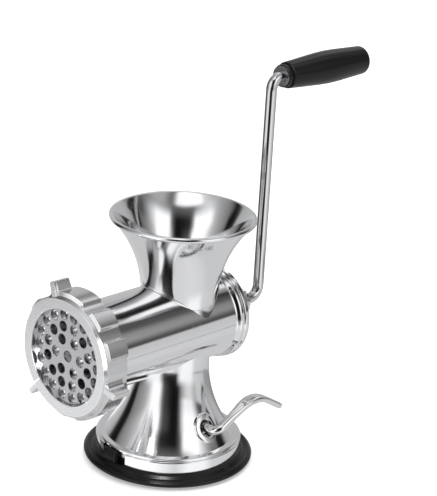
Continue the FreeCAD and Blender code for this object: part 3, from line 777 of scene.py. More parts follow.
@dataclass
class Pedestal:
    """Flared hollow foot with a lipped boss for the lever and a band with a notch.

    The boss's outline has the distance from the lever's axis and how far it stands off the flare.
    """

    layout: Layout
    waist_r: float = 26.1
    waist_z: float = 76.0
    toe_r: float = 45.8
    ledge_z: float = 19.5
    ledge_r: float = 50.2
    ledge_round: float = 1.0
    band_r: float = 51.8
    band_top: float = 17.8
    band_bottom: float = 9.0
    band_rounds: tuple[float, float] = (0.5, 1.0)
    band_rows: int = 200
    bore_r: float = 48.5
    shoulder_r: float = 40.0
    plate_top: float = 16.0
    wall: float = 3.0
    notch_left: float = -13.55
    notch_right: float = 9.95
    hole_r: float = 7.2
    hole_rows: int = 41
    rows: int = 40
    low_rows: int = 30
    segments: int = 220
    boss: Outline = ((10.2, -0.8, 0), (9.6, 0.0, 0.6), (9.1, 1.9, 0.9), (5.7, 2.2, 0.8), (5.7, -2.0, 0))
    boss_step: float = 12.0
    boss_segments: int = 72
    bush_face: float = 34.0
    bush_r: float = 4.95
    bush_length: float = 9.0

    def outer_r(self, z: np.ndarray) -> np.ndarray:
        """Radius of the flared outside at a height, upright above the waist."""
        bend = flare_bend(self.waist_r, self.waist_z, self.toe_r, self.ledge_z)
        return flare(self.waist_r, self.waist_z, bend, np.minimum(z, self.waist_z))

    def inner_r(self, z: np.ndarray) -> np.ndarray:
        """Radius of the hollow at a height."""
        bend = flare_bend(self.waist_r - self.wall, self.waist_z, self.shoulder_r, self.plate_top)
        return flare(self.waist_r - self.wall, self.waist_z, bend, np.minimum(z, self.waist_z))

    def trim(self, r: float) -> np.ndarray:
        """Heights round a wall of the barrel's underside: axis - sqrt(R^2 - (r cos a)^2)."""
        x = r * np.cos(np.linspace(0, TURN, self.segments + 1))[None, :]
        return self.layout.axis - np.sqrt(self.layout.barrel_r**2 - x * x)

    def build(self) -> list[Object]:
        """Build the wall, the band and the boss."""
        return [self.build_wall(), self.build_band(), self.build_boss()]

    def build_wall(self) -> Object:
        """The flared wall, trimmed by the barrel above, with columns that start at the lever's hole.

        Returns:
            The wall.
        """
        lay = self.layout
        level = np.zeros((1, self.segments + 1))
        hole = lay.lever_z + self.hole_r * np.cos(np.linspace(0, np.pi, self.hole_rows))
        share = np.linspace(0, 1, self.rows)[:, None]
        top, inner_top = self.trim(self.waist_r), self.trim(self.waist_r - self.wall)
        upper_z = top + share[:-1] * (hole[0] - top)
        middle_z = hole[:, None] + level
        lower_z = np.linspace(hole[-1], self.ledge_z, self.rows)[1:, None] + level
        outer_z = np.concatenate([upper_z, middle_z, lower_z])
        rim = rounded_line([
            (self.toe_r, self.ledge_z, 0),
            (self.ledge_r, self.ledge_z, self.ledge_round),
            (self.ledge_r, self.band_top, 0),
            (self.bore_r, self.band_top, 0),
            (self.bore_r, self.plate_top, 0),
            (self.shoulder_r, self.plate_top, 0),
        ])[1:]
        inner_low = np.linspace(self.plate_top, hole[-1], self.low_rows)[1:-1, None] + level
        inner_up = hole[0] + share[1:] * (inner_top - hole[0])
        inner_z = np.concatenate([inner_low, middle_z[::-1], inner_up])
        r = np.concatenate([self.outer_r(outer_z), rim[:, :1] + level, self.inner_r(inner_z)])
        z = np.concatenate([outer_z, rim[:, 1:] + level, inner_z])
        points = about_z(r, z, from_hole(r, z, lay.lever_z, self.hole_r, self.segments))
        inside = len(outer_z) + len(rim) + len(inner_low)
        patches = [Patch(points, True), *hole_walls(points, len(upper_z), inside, len(hole))]
        return piece("pedestal_wall", patches, Body.BODY, UPRIGHT_STEEL, ["pedestal"])

    def build_band(self) -> Object:
        """The foot band, a closed section carried round the foot from one side of its notch to the other.

        Returns:
            The band.
        """
        low_round, top_round = self.band_rounds
        section = rounded_line([
            (self.bore_r, self.band_bottom, 0),
            (self.band_r, self.band_bottom, low_round),
            (self.band_r, self.band_top, top_round),
            (self.bore_r, self.band_top, 0),
        ], True)
        start = math.asin(self.notch_right / self.band_r) - math.pi / 2
        end = math.asin(self.notch_left / self.band_r) + 1.5 * math.pi
        r, z = section.T[:, None, :]
        rings = about_z(r, z, np.linspace(start, end, self.band_rows)[:, None])
        return piece("foot_band", [capped(rings)], Body.BODY, UPRIGHT_STEEL)

    def build_boss(self) -> Object:
        """The lever's boss, a rounded lip that rises from the flare and turns into a deep mouth.

        Rows are circles about the lever's axis. The outer rows stand off the flare, whose x is
        sqrt(r(z)^2 - y^2), and the last rows are flat at the bush.

        Returns:
            The boss.
        """
        axis = self.layout.lever_z
        angle = even_angles(self.boss_segments)
        lip_r, off = rounded_line(self.boss, step=self.boss_step).T[:, :, None]
        deep_r = np.array([self.boss[-1][0], self.bush_r, self.bush_r, self.boss[0][0]])[:, None]
        deep_x = self.bush_face - self.bush_length * np.array([0, 0, 1, 1])[:, None]
        r = np.concatenate([lip_r, deep_r])
        y, z = r * np.cos(angle), axis + r * np.sin(angle)
        lip = len(lip_r)
        lip_x = np.sqrt(self.outer_r(z[:lip]) ** 2 - y[:lip] ** 2) + off
        x = np.concatenate([lip_x, deep_x + 0 * angle])
        patches = [Patch(np.stack([x, y, z], -1), True, True)]
        return piece("lever_boss", patches, Body.BODY, UPRIGHT_STEEL)


@dataclass
class RearCap:
    """Flanged cone that closes the barrel."""

    layout: Layout
    spigot_gap: float = 0.02
    spigot_y: float = 32.8
    flange_r: float = 33.9
    flange_length: float = 4.6
    flange_round: float = 1.6
    shoulder_r: float = 29.5
    shoulder_run: float = 1.6
    shoulder_round: float = 1.0
    hub_r: float = 9.4
    hub_y: float = 65.0
    hub_end: float = 68.0
    hub_rounds: tuple[float, float] = (2.0, 1.4)
    hole_r: float = 8.07
    web_y: float = 46.0
    web_r: float = 18.0
    cave_r: float = 24.6
    cave_run: float = 4.0
    segments: int = 160

    def build(self) -> Object:
        """The cap as one closed profile turned about the barrel's axis.

        Returns:
            The cap.
        """
        lay = self.layout
        spigot_r = lay.bore_r - self.spigot_gap
        flange_end = lay.barrel_rear + self.flange_length
        corners = [
            (self.spigot_y, spigot_r, 0),
            (lay.barrel_rear, spigot_r, 0),
            (lay.barrel_rear, self.flange_r, self.flange_round),
            (flange_end, self.flange_r, self.flange_round),
            (flange_end + self.shoulder_run, self.shoulder_r, self.shoulder_round),
            (self.hub_y, self.hub_r, self.hub_rounds[0]),
            (self.hub_end, self.hub_r, self.hub_rounds[1]),
            (self.hub_end, self.hole_r, 0),
            (self.web_y, self.hole_r, 0),
            (self.web_y, self.web_r, 0),
            (self.web_y - self.cave_run, self.cave_r, 0),
            (self.spigot_y, self.cave_r, 0),
        ]
        patches = [turned(corners, lay.axis, self.segments)]
        return piece("rear_cap_cone", patches, Body.BODY, LYING_STEEL, ["rear_cap"])


@dataclass
class RingNut:
    """Cast ring with three fins and stepped blocks round its rim.

    Front rows and runs, which are (first, last, count), are depths behind the front face. Slope and
    heel rows are shares of the block's slope and the fin's heel, and rear rows are depths before the rear.
    """

    layout: Layout
    front: float = -101.8
    length: float = 19.8
    opening_r: float = 33.0
    opening_round: float = 0.7
    inner_r: float = 38.08
    outer_r: float = 42.18
    lip: float = 3.8
    bevel: float = 1.7
    rear_bevel: float = 0.45
    rise: float = 2.2
    setback: float = 2.4
    slope: float = 1.4
    reach: float = 9.4
    fin_half: float = 2.1
    fin_setback: float = 0.8
    fin_bevel: float = 0.8
    fin_fade: float = 0.8
    fin_length: float = 13.4
    fin_heel: float = 1.8
    fin_round: float = 0.5
    fillets: tuple[tuple[int, float], ...] = ((-1, 5.2), (1, 1.3))
    fillet_span: float = 60.0
    fin_turns: tuple[float, ...] = (-17.0, 103.0, 223.0)
    blocks: tuple[tuple[float, float], ...] = ((-0.4, 35.4), (46.0, 64.0), (76.0, 92.4))
    edge: float = 1.5
    sharp: float = 38.0
    column_step: float = 1.5
    edge_columns: int = 13
    fin_columns: int = 25
    fillet_columns: int = 16
    fillet_start: float = 0.004
    front_rows: tuple[float, ...] = (0.0, 0.3, 0.79, 0.81, 1.2, 1.65, 1.7, 2.0)
    slope_rows: tuple[float, ...] = (-0.1, 0.0, 0.15, 0.5, 0.85, 1.0, 1.1)
    block_run: tuple[float, float, int] = (4.3, 13.9, 7)
    heel_rows: tuple[float, ...] = (1.05, 1.0, 0.9, 0.7, 0.5, 0.3, 0.1, 0.0, -0.05)
    rear_run: tuple[float, float, int] = (16.4, 18.9, 4)
    rear_rows: tuple[float, ...] = (0.6, 0.45, 0.3, 0.15, 0.0)

    def fin_edge(self) -> float:
        """Degrees from a fin's middle to its side, at the rim."""
        return math.degrees(math.asin(self.fin_half / self.outer_r))

    def angles(self) -> np.ndarray:
        """Angles of the columns, closer together at the edges of fins and blocks.

        Returns:
            The angles in degrees.
        """
        fin_edge = self.fin_edge()
        close = np.linspace(-1, 1, self.edge_columns) * self.edge
        parts = [np.arange(0.0, 360.0, self.column_step)]
        for turn in self.fin_turns:
            parts.append(turn + np.linspace(-fin_edge, fin_edge, self.fin_columns))
            for side, radius in self.fillets:
                foot = math.degrees(radius / self.outer_r)
                share = np.linspace(self.fillet_start, 1, self.fillet_columns) ** 2
                parts.append(turn + side * (fin_edge + foot * share))
            parts.extend(turn + e + close for pair in self.blocks for e in pair if abs(e) > fin_edge)
        return np.unique(np.round(np.concatenate(parts) % 360.0, 3))

    def build(self) -> Object:
        """The ring as a section carried round its axis, with a rim radius that depends on angle and y.

        Rim radius = bevelled base + block share x rise + fillet, where the block's front slopes, and
        inside a fin the fin's own outline. A block share goes from 0 to 1 over one edge as
        3 s^2 - 2 s^3. The fillet beside a fin is R - sqrt(R^2 - (R - distance)^2), wide on its open
        side and narrow on its block. In a fin the angle is turn + asin(offset / r), which keeps its
        sides parallel.

        Returns:
            The ring.
        """
        degrees = self.angles()
        heel = self.fin_setback + self.fin_length + self.fin_heel
        into = np.concatenate([
            self.front_rows,
            self.setback + self.slope * np.array(self.slope_rows),
            np.linspace(*self.block_run),
            heel - self.fin_heel * np.array(self.heel_rows),
            np.linspace(*self.rear_run),
            self.length - np.array(self.rear_rows),
        ])[:, None]
        rear_cut = np.maximum(into - self.length + self.rear_bevel, 0.0)
        base = self.outer_r - np.maximum(self.bevel - into, 0.0) - rear_cut
        share = np.zeros_like(degrees)
        for turn in self.fin_turns:
            for low, high in self.blocks:
                past = (degrees - turn - (low + high) / 2 + 180.0) % 360.0 - 180.0
                s = np.clip(((high - low) / 2 - np.abs(past)) / (2 * self.edge) + 0.5, 0, 1)
                share = np.maximum(share, smooth(s))
        r = base + share[None, :] * self.rise * np.clip((into - self.setback) / self.slope, 0, 1)
        tip = self.outer_r + self.reach
        fin_in = into - self.fin_setback
        outline = np.minimum(tip - self.fin_bevel + fin_in, tip)
        outline = np.minimum(outline, tip - (into - heel + self.fin_heel) / self.fin_heel * self.reach)
        fade = np.clip(fin_in / self.fin_fade, 0, 1) * np.clip((heel - into) / self.fin_heel, 0, 1)
        angle = np.radians(degrees)[None, :]
        rim_angle = angle + 0 * into
        for turn in self.fin_turns:
            past = (degrees - turn + 180.0) % 360.0 - 180.0
            inside = np.abs(past) <= self.fin_edge() + HAIR
            offset = self.outer_r * np.sin(np.radians(past))
            round_in = np.clip((np.abs(offset) - self.fin_half + self.fin_round) / self.fin_round, 0, 1)
            worn = outline - self.fin_round * (1 - np.sqrt(np.maximum(1 - round_in**2, 0.0)))[None, :]
            for side, radius in self.fillets:
                away = np.clip((side * offset - self.fin_half) / radius, 0, 1)
                beside = (side * past > 0) & (np.abs(past) < self.fillet_span)
                hollow = radius * (1 - np.sqrt(1 - (1 - away) ** 2)) * beside
                r = r + np.where(inside[None, :], 0.0, hollow[None, :] * fade)
            use = inside[None, :] & (fin_in > 0) & (into < heel)
            r = np.where(use, np.maximum(worn, r), r)
            skew = np.radians(turn) + np.arcsin(np.clip(offset[None, :] / r, -1, 1))
            rim_angle = np.where(use, skew, rim_angle)
        rim = about_y(r, self.front + into, rim_angle, self.layout.axis)
        bore = rounded_line([
            (self.front + self.length, self.inner_r, 0),
            (self.front + self.lip, self.inner_r, 0),
            (self.front + self.lip, self.opening_r, 0),
            (self.front, self.opening_r, self.opening_round),
            (self.front, self.outer_r - self.bevel, 0),
        ])[:-1]
        bore_y, bore_r = bore.T[:, :, None]
        rows = np.concatenate([rim, about_y(bore_r, bore_y, angle, self.layout.axis)])
        patches = [Patch(rows, True, True)]
        slot, nodes = Slot.SATIN_CASTING, ["ring_nut"]
        return piece("ring_nut_casting", patches, Body.RING, SATIN_CAST, nodes, self.sharp)


@dataclass
class Crank:
    """Bent rod and its turning grip, whose outlines have the place along its axis and the radius.

    The grip's outline starts at its nose, and the plug's is measured from the grip's end.
    """

    layout: Layout
    rod_r: float = 4.0
    socket_y: float = 46.4
    arm_y: float = 84.1
    bend: float = 8.6
    bend_step: float = 4.0
    shoulder_y: float = 165.95
    grip_y: float = 93.75
    grip_length: float = 84.0
    grip: Outline = (
        (0.0, 4.05, 0), (0.0, 8.3, 1.0), (3.4, 8.3, 0.3), (3.4, 7.3, 0), (4.4, 7.3, 0), (4.4, 9.5, 1.0),
        (46.0, 12.3, 170.0), (84.0, 10.3, 3.6), (84.0, 7.5, 0), (72.0, 7.5, 0), (72.0, 4.05, 0),
    )
    grip_segments: int = 96
    plug: Outline = (
        (-3.0, POLE, 0), (-3.0, 7.48, 0.4), (0.0, 7.48, 0), (0.0, 8.5, 0.2), (1.4, 8.0, 0.9), (1.4, POLE, 0),
    )
    plug_segments: int = 72

    def build(self) -> list[Object]:
        """Build the rod, the grip and the plug in the grip's end."""
        return [self.build_rod(), self.build_grip(), self.build_plug()]

    def build_rod(self) -> Object:
        """The rod: a circle carried along runs and bends in the plane x = 0.

        Returns:
            The rod.
        """
        lay = self.layout
        path = rounded_line([
            (0, self.socket_y, lay.axis, 0),
            (0, self.arm_y, lay.axis, self.bend),
            (0, self.arm_y, lay.handle_z, self.bend),
            (0, self.shoulder_y, lay.handle_z, 0),
        ], step=self.bend_step)
        radius = np.full(len(path), self.rod_r)
        patches = [tube(path, np.array([1.0, 0.0, 0.0]), radius, radius)]
        return piece("crank_rod", patches, Body.DRIVE, DRAWN_ROD, ["crank_arm"])

    def handle_part(self, outline: Outline, start: float, segments: int) -> list[Patch]:
        """An outline that begins at a place along Y, turned about the handle's axis."""
        return [turned([(start + y, r, bend) for y, r, bend in outline], self.layout.handle_z, segments)]

    def build_grip(self) -> Object:
        """The grip, with a stepped nose and a swelling belly."""
        patches = self.handle_part(self.grip, self.grip_y, self.grip_segments)
        return piece("grip_handle", patches, Body.GRIP, GRIP_PLASTIC, ["grip"])

    def build_plug(self) -> Object:
        """The plug in the grip's end, with a softly domed face."""
        patches = self.handle_part(self.plug, self.grip_y + self.grip_length, self.plug_segments)
        return piece("grip_plug", patches, Body.GRIP, GRIP_PLASTIC, ["grip_end_cap"])


@dataclass
class Worm:
    """Left-handed auger under the hopper."""

    layout: Layout
    front: float = -84.9
    flight_rear: float = 29.45
    rear: float = 42.45
    core_front_r: float = 13.0
    core_rear_r: float = 9.5
    journal_r: float = 10.0
    flight_r: float = 27.35
    root_r: float = 8.0
    root_half: float = 3.5
    edge_half: float = 1.8
    edge_round: float = 0.6
    edge_step: float = 20.0
    pitch: float = 32.0
    flight_rows: int = 300
    segments: int = 72

    def build(self) -> Object:
        """The core, turned, and the flight, a section carried along a helix.

        At t turns the section stands at (r cos 2 pi t, front + pitch t + offset, axis + r sin 2 pi t).

        Returns:
            The worm.
        """
        axis = self.layout.axis
        corners = [
            (self.front, POLE, 0),
            (self.front, self.core_front_r, self.edge_round),
            (self.flight_rear, self.core_rear_r, 0),
            (self.flight_rear, self.journal_r, 0),
            (self.rear, self.journal_r, 0),
            (self.rear, POLE, 0),
        ]
        section = rounded_line([
            (self.root_r, -self.root_half, 0),
            (self.flight_r, -self.edge_half, self.edge_round),
            (self.flight_r, self.edge_half, self.edge_round),
            (self.root_r, self.root_half, 0),
        ], True, self.edge_step)
        turns = (self.flight_rear - self.front - 2 * self.root_half) / self.pitch
        t = np.linspace(0, turns, self.flight_rows)[:, None]
        r, offset = section.T[:, None, :]
        y = self.front + self.root_half + self.pitch * t + offset
        rings = np.stack([r * np.cos(TURN * t), y, axis + r * np.sin(TURN * t)], -1)
        patches = [turned(corners, axis, self.segments), capped(rings)]
        return piece("worm", patches, Body.DRIVE, CAST_WORM, ["auger"])


@dataclass
class SuctionFoot:
    """Rubber pad with its tab, and the centre that the lever lifts.

    The pad's outline has radius and height: sole, outer edge, brow and groove, shelf, seat of the foot
    band, lip and web. The tab's outline has x and y, and its rows have height and how far it is drawn in.
    """

    pad: Outline = (
        (25.35, 0.0, 0.4), (54.8, 0.0, 3.0), (60.2, 2.9, 1.6), (60.2, 5.0, 1.0), (57.9, 6.9, 0.9),
        (55.4, 6.1, 0.7), (53.6, 8.1, 0.5), (51.8, 9.0, 0), (48.48, 9.0, 0), (48.48, 13.0, 0.4),
        (40.88, 13.0, 0.8), (40.88, 4.5, 1.5), (25.35, 4.5, 0.6),
    )
    pad_step: float = 10.0
    pad_segments: int = 160
    tab: Outline = ((-10.9, -48.85, 0.5), (-10.9, -53.0, 1.0), (2.3, -53.0, 2.0), (2.3, -48.85, 0.5))
    tab_step: float = 12.0
    tab_half: tuple[float, float] = (6.6, 2.1)
    tab_rows: tuple[tuple[float, float], ...] = (
        (3.0, 0.0), (6.0, 0.0), (16.3, 0.0), (16.75, 0.12), (17.08, 0.42), (17.2, 0.9)
    )
    core_r: float = 25.0
    core_low: float = 5.0
    core_high: float = 9.0
    core_round: float = 0.5
    core_segments: int = 96
    ripple_end: float = 24.4
    ripple_half: float = 0.25
    ripple_rate: float = 1.6
    ripple_rows: int = 90
    rim_low: float = 5.3

    def build(self) -> list[Object]:
        """Build the pad, the tab and the lifted centre."""
        return [self.build_pad(), self.build_tab(), self.build_core()]

    def build_pad(self) -> Object:
        """The pad as one closed profile turned about the foot's axis."""
        patches = [spun(rounded_line(self.pad, True, self.pad_step), self.pad_segments)]
        return piece("pad_ring", patches, Body.BODY, PAD_RUBBER, ["suction_pad"])

    def build_tab(self) -> Object:
        """The tab: a rounded outline in x and y carried upwards, drawn in at its top edge.

        Each row is centre + (outline - centre) x (1 - inset / half size).

        Returns:
            The tab.
        """
        outline = rounded_line(self.tab, True, self.tab_step)
        centre = outline.mean(0)
        rise, inset = np.array(self.tab_rows).T[:, :, None, None]
        flat = centre + (outline - centre) * (1 - inset / np.array(self.tab_half))
        rings = np.concatenate([flat, np.broadcast_to(rise, flat.shape[:2] + (1,))], -1)
        return piece("release_tab", [capped(rings)], Body.BODY, PAD_RUBBER)

    def build_core(self) -> Object:
        """The lifted centre with shallow ripples underneath: z = low + half (1 + cos(rate r)).

        Returns:
            The centre.
        """
        r = np.linspace(POLE, self.ripple_end, self.ripple_rows)
        under = np.stack([r, self.core_low + self.ripple_half * (1 + np.cos(r * self.ripple_rate))], -1)
        top = self.core_high
        rim = rounded_line([
            (self.core_r, self.rim_low, 0), (self.core_r, top, self.core_round), (POLE, top, 0)
        ])
        patches = [spun(np.concatenate([under, rim]), self.core_segments)]
        return piece("pad_centre", patches, Body.PLUNGER, PAD_RUBBER, ["pad_core"])


@dataclass
class Lever:
    """Bent suction lever with a flattened end."""

    layout: Layout
    rod_r: float = 3.2
    inner_end: float = -33.0
    arm_x: float = 48.0
    bend: float = 6.0
    bend_step: float = 4.0
    crown_y: float = 35.0
    crown_rise: float = 19.8
    crown_round: float = 24.0
    end_y: float = 62.2
    end_rise: float = 3.4
    paddle_half: float = 5.0
    paddle_thick: float = 2.3
    paddle_square: float = 0.45
    flat_start: float = 10.0
    flat_run: float = 24.0
    tip: float = 3.0
    tip_rows: int = 9
    segments: int = 64

    def build(self) -> Object:
        """An oval carried along the lever's line, flattening over the crown and blunt at the tip.

        Half width and half depth go from the rod's radius to the paddle's as 3 s^2 - 2 s^3, where s
        is the share of the way over the crown. Over the tip both shrink as sqrt(1 - s^2).

        Returns:
            The lever.
        """
        z = self.layout.lever_z
        corner = np.array([self.arm_x, 0.0, z])
        crown = np.array([self.arm_x, self.crown_y, z + self.crown_rise])
        end = np.array([self.arm_x, self.end_y, z + self.end_rise])
        path = rounded_line([
            (self.inner_end, 0.0, z, 0), (*corner, self.bend), (*crown, self.crown_round), (*end, 0)
        ], step=self.bend_step)
        fall = (end - crown) / np.linalg.norm(end - crown)
        blunt = np.sin(np.linspace(0, np.pi / 2, self.tip_rows))
        path = np.concatenate([path[:-2], end - fall * self.tip * (1 - blunt)[:, None]])
        s = smooth(np.clip((path[:, 1] - self.flat_start) / self.flat_run, 0, 1))
        s = np.where(path[:, 0] > self.arm_x - HAIR, s, 0.0)
        shrink = np.ones(len(path))
        shrink[-self.tip_rows :] = np.sqrt(np.maximum(1 - blunt**2, 0.0))
        wide = (self.rod_r + s * (self.paddle_half - self.rod_r)) * shrink
        deep = (self.rod_r + s * (self.paddle_thick - self.rod_r)) * shrink
        climb = (crown - corner) / np.linalg.norm(crown - corner)
        across = np.cross([1.0, 0.0, 0.0], climb)
        patches = [tube(path, across, wide, deep, self.paddle_square * s, self.segments)]
        return piece("lever_arm", patches, Body.LEVER, BRIGHT_ROD, ["suction_lever"])


GROUND_NODES = (
    "mincing_plate", "cross_knife", "drive_shaft", "plate_key", "thrust_washer", "base_plate", "base_screws",
    "plunger_stem", "press_disc", "lever_cam", "cam_pin", "lever_clip",
)
BLACKED_NODES = ("knife_stud", "front_grip_washer", "rear_grip_washer", "grip_nut")
NODE_FINISHES: dict[str, Finish] = {
    **dict.fromkeys(GROUND_NODES, GROUND_STEEL),
    **dict.fromkeys(BLACKED_NODES, BLACKED_STEEL),
    "bearing_bush": BEARING_BRONZE,
    "lever_bush": BEARING_PLASTIC,
}


def dress_nodes(nodes: dict[str, Object]) -> None:
    """Give the frame's own nodes their finishes.

    Args:
        nodes: The frame's nodes by name.
    """
    for name, finish in NODE_FINISHES.items():
        data = nodes[name].data
        data.materials.clear()
        data.materials.append(finish.material())
        LOG.info("%s: %s", name, finish.name)


Bands = tuple[tuple[float, float], ...]
ROOM_TINT = (0.985, 0.99, 1.0)
LAMPS_FACE = (0.0, 0.0, 0.1)
WHITE = (1.0, 1.0, 1.0, 1.0)


def stand_at(where: Sequence[float], right: np.ndarray, up: np.ndarray, back: np.ndarray) -> Matrix:
    """A place in metres and three directions as one matrix."""
    return Matrix.Translation(where) @ Matrix(np.stack([right, up, back], 1).tolist()).to_4x4()


@dataclass(frozen=True)
class Layer:
    """A ring of the surroundings, from one height upwards.

    Attributes:
        start: Height on the unit sphere where it begins to show.
        full: Height where it covers what is below.
        bands: Places round the compass, as shares of a turn from the camera, with their brightness.
    """

    start: float
    full: float
    bands: Bands

    def stops(self) -> list[tuple[float, Colour]]:
        """Its bands as colour stops."""
        return [(place, tuple(part * value for part in ROOM_TINT)) for place, value in self.bands]


@dataclass(frozen=True)
class SoftBox:
    """A rectangular lamp that faces the part.

    Attributes:
        name: Its name.
        where: Its place in metres.
        size: Its width and height in metres.
        power: Its power in watts.
        mirrored: Whether it shows in reflections.
        finishes: The only finishes that it lights, or none for all.
    """

    name: str
    where: tuple[float, float, float]
    size: tuple[float, float]
    power: float
    mirrored: bool = False
    finishes: tuple[Finish, ...] = ()

    def build(self) -> None:
        """Hang the lamp and link it to the pieces that it lights."""
        data = bpy.data.lights.new(self.name, "AREA")
        data.shape = "RECTANGLE"
        data.size, data.size_y = self.size
        data.energy = self.power
        lamp = hang(self.name, data)
        lamp.visible_glossy = self.mirrored
        back = np.array(self.where) - np.array(LAMPS_FACE)
        back /= np.linalg.norm(back)
        side = np.cross([0.0, 1.0, 0.0], back)
        side /= np.linalg.norm(side)
        lamp.matrix_world = stand_at(self.where, side, np.cross(back, side), back)
        if self.finishes:
            lit = bpy.data.collections.new(self.name + "_lit")
            wanted = {finish.name for finish in self.finishes}
            for made in bpy.context.scene.objects:
                if made.type == "MESH" and made.data.materials and made.data.materials[0].name in wanted:
                    lit.objects.link(made)
            lamp.light_linking.receiver_collection = lit


ROD_BANDS: Bands = (
    (0.0, 0.006), (0.045, 0.02), (0.066, 0.55), (0.085, 0.92), (0.17, 0.86), (0.205, 0.6), (0.25, 0.55),
    (0.305, 0.5), (0.33, 0.3), (0.43, 0.24), (0.465, 0.18), (0.48, 0.4), (0.5, 0.85), (0.59, 0.88),
    (0.63, 0.55), (0.668, 0.12), (0.69, 0.03), (0.738, 0.05), (0.77, 0.25), (0.81, 0.9), (0.9, 0.88),
    (0.925, 0.3), (0.945, 0.03), (1.0, 0.006),
)
LINE_BANDS: Bands = (*ROD_BANDS[:5], (0.195, 0.6), (0.21, 0.05), *ROD_BANDS[8:])
LEFT_BANDS: Bands = (
    (0.48, 0.44), (0.56, 0.5), (0.62, 0.42), (0.643, 0.32), (0.66, 0.04), (0.678, 0.008), (0.71, 0.01),
    (0.728, 0.18), (0.75, 0.22), (0.785, 0.29), (0.815, 0.38), (0.84, 0.62), (0.862, 0.92), (0.88, 1.0),
    (0.918, 0.96), (0.932, 0.5), (0.948, 0.12), (0.965, 0.05), (1.0, 0.015),
)
LOW_BANDS: Bands = (
    (0.0, 0.015), (0.03, 0.006), (0.06, 0.008), (0.075, 0.1), (0.098, 0.34), (0.13, 0.6), (0.16, 0.64),
    (0.19, 0.46), (0.205, 0.4), (0.225, 0.52), (0.265, 0.52), (0.29, 0.34), (0.39, 0.42), *LEFT_BANDS,
)
ROOM: tuple[Layer, ...] = (
    Layer(-1.0, -0.9, (
        (0.0, 0.62), (0.1, 0.66), (0.2, 0.62), (0.27, 0.54), (0.4, 0.54), (0.5, 0.52), (0.65, 0.52),
        (0.72, 0.45), (0.8, 0.55), (0.9, 0.62), (1.0, 0.62),
    )),
    Layer(-0.62, -0.5, (
        (0.0, 0.62), (0.06, 0.66), (0.11, 0.85), (0.18, 0.85), (0.22, 0.62), (0.3, 0.55), (0.4, 0.52),
        (0.45, 0.4), (0.49, 0.3), (0.53, 0.52), (0.64, 0.62), (0.69, 0.4), (0.703, 0.1), (0.726, 0.12),
        (0.75, 0.36), (0.8, 0.55), (0.87, 0.85), (0.93, 0.85), (0.96, 0.62), (1.0, 0.62),
    )),
    Layer(-0.5, -0.46, (
        (0.0, 0.8), (0.04, 0.62), (0.1, 0.9), (0.175, 0.88), (0.215, 0.6), (0.33, 0.54), (0.4, 0.5),
        (0.455, 0.35), (0.5, 0.3), (0.54, 0.55), (0.615, 0.6), (0.632, 0.14), (0.665, 0.14), (0.69, 1.0),
        (0.95, 1.0), (1.0, 0.8),
    )),
    Layer(-0.372, -0.362, ROD_BANDS),
    Layer(-0.358, -0.354, LINE_BANDS),
    Layer(-0.347, -0.343, ROD_BANDS),
    Layer(-0.3, -0.15, LOW_BANDS),
    Layer(-0.03, 0.03, (
        (0.0, 0.015), (0.03, 0.005), (0.058, 0.008), (0.074, 0.12), (0.092, 0.5), (0.115, 0.85),
        (0.165, 0.8), (0.19, 0.46), (0.212, 0.12), (0.23, 0.06), (0.28, 0.07), (0.34, 0.02), (0.355, 0.36),
        *LEFT_BANDS,
    )),
    Layer(0.06, 0.32, (
        (0.0, 0.03), (0.02, 0.006), (0.055, 0.008), (0.072, 0.12), (0.09, 0.6), (0.108, 1.0), (0.185, 1.0),
        (0.205, 0.55), (0.222, 0.38), (0.245, 0.27), (0.262, 0.2), (0.285, 0.14), (0.297, 0.012),
        (0.33, 0.008), (0.345, 0.3), (0.38, 0.4), (0.5, 0.45), (0.56, 0.45), (0.645, 0.38), (0.66, 0.04),
        (0.675, 0.006), (0.7, 0.006), (0.718, 0.18), (0.74, 0.25), (0.775, 0.36), (0.805, 0.5), (0.83, 0.8),
        (0.85, 1.0), (0.93, 1.0), (0.945, 0.25), (0.962, 0.07), (1.0, 0.03),
    )),
    Layer(0.4, 0.58, (
        (0.0, 0.01), (0.045, 0.004), (0.062, 0.03), (0.08, 0.16), (0.1, 1.0), (0.18, 1.0), (0.2, 0.7),
        (0.24, 0.26), (0.265, 0.08), (0.285, 0.07), (0.297, 0.02), (0.325, 0.006), (0.345, 0.2),
        (0.41, 0.12), (0.44, 0.95), (0.462, 1.0), (0.482, 0.24), (0.494, 0.03), (0.505, 0.38), (0.56, 0.36),
        (0.65, 0.36), (0.668, 0.03), (0.685, 0.006), (0.71, 0.16), (0.765, 0.32), (0.79, 0.45), (0.82, 1.0),
        (0.915, 1.0), (0.93, 0.4), (0.942, 0.1), (0.957, 0.02), (1.0, 0.01),
    )),
    Layer(0.63, 0.78, (
        (0.0, 0.09), (0.04, 0.085), (0.062, 0.1), (0.08, 0.13), (0.1, 0.2), (0.14, 0.31), (0.18, 0.35),
        (0.21, 0.3), (0.25, 0.19), (0.285, 0.14), (0.3, 0.28), (0.315, 0.7), (0.33, 0.35), (0.346, 0.9),
        (0.368, 0.9), (0.382, 0.1), (0.41, 0.08), (0.43, 0.5), (0.44, 1.0), (0.462, 1.0), (0.474, 0.42),
        (0.495, 0.05), (0.505, 0.4), (0.56, 0.35), (0.7, 0.25), (0.76, 0.3), (0.79, 0.42), (0.83, 0.64),
        (0.87, 0.55), (0.912, 0.3), (0.94, 0.11), (1.0, 0.09),
    )),
    Layer(0.785, 0.825, (
        (0.0, 1.0), (0.045, 0.95), (0.07, 0.32), (0.09, 0.12), (0.12, 0.22), (0.15, 0.36), (0.25, 0.36),
        (0.36, 0.45), (0.42, 0.8), (0.55, 0.75), (0.62, 0.42), (0.8, 0.42), (0.86, 0.62), (0.885, 1.0),
        (1.0, 1.0),
    )),
)


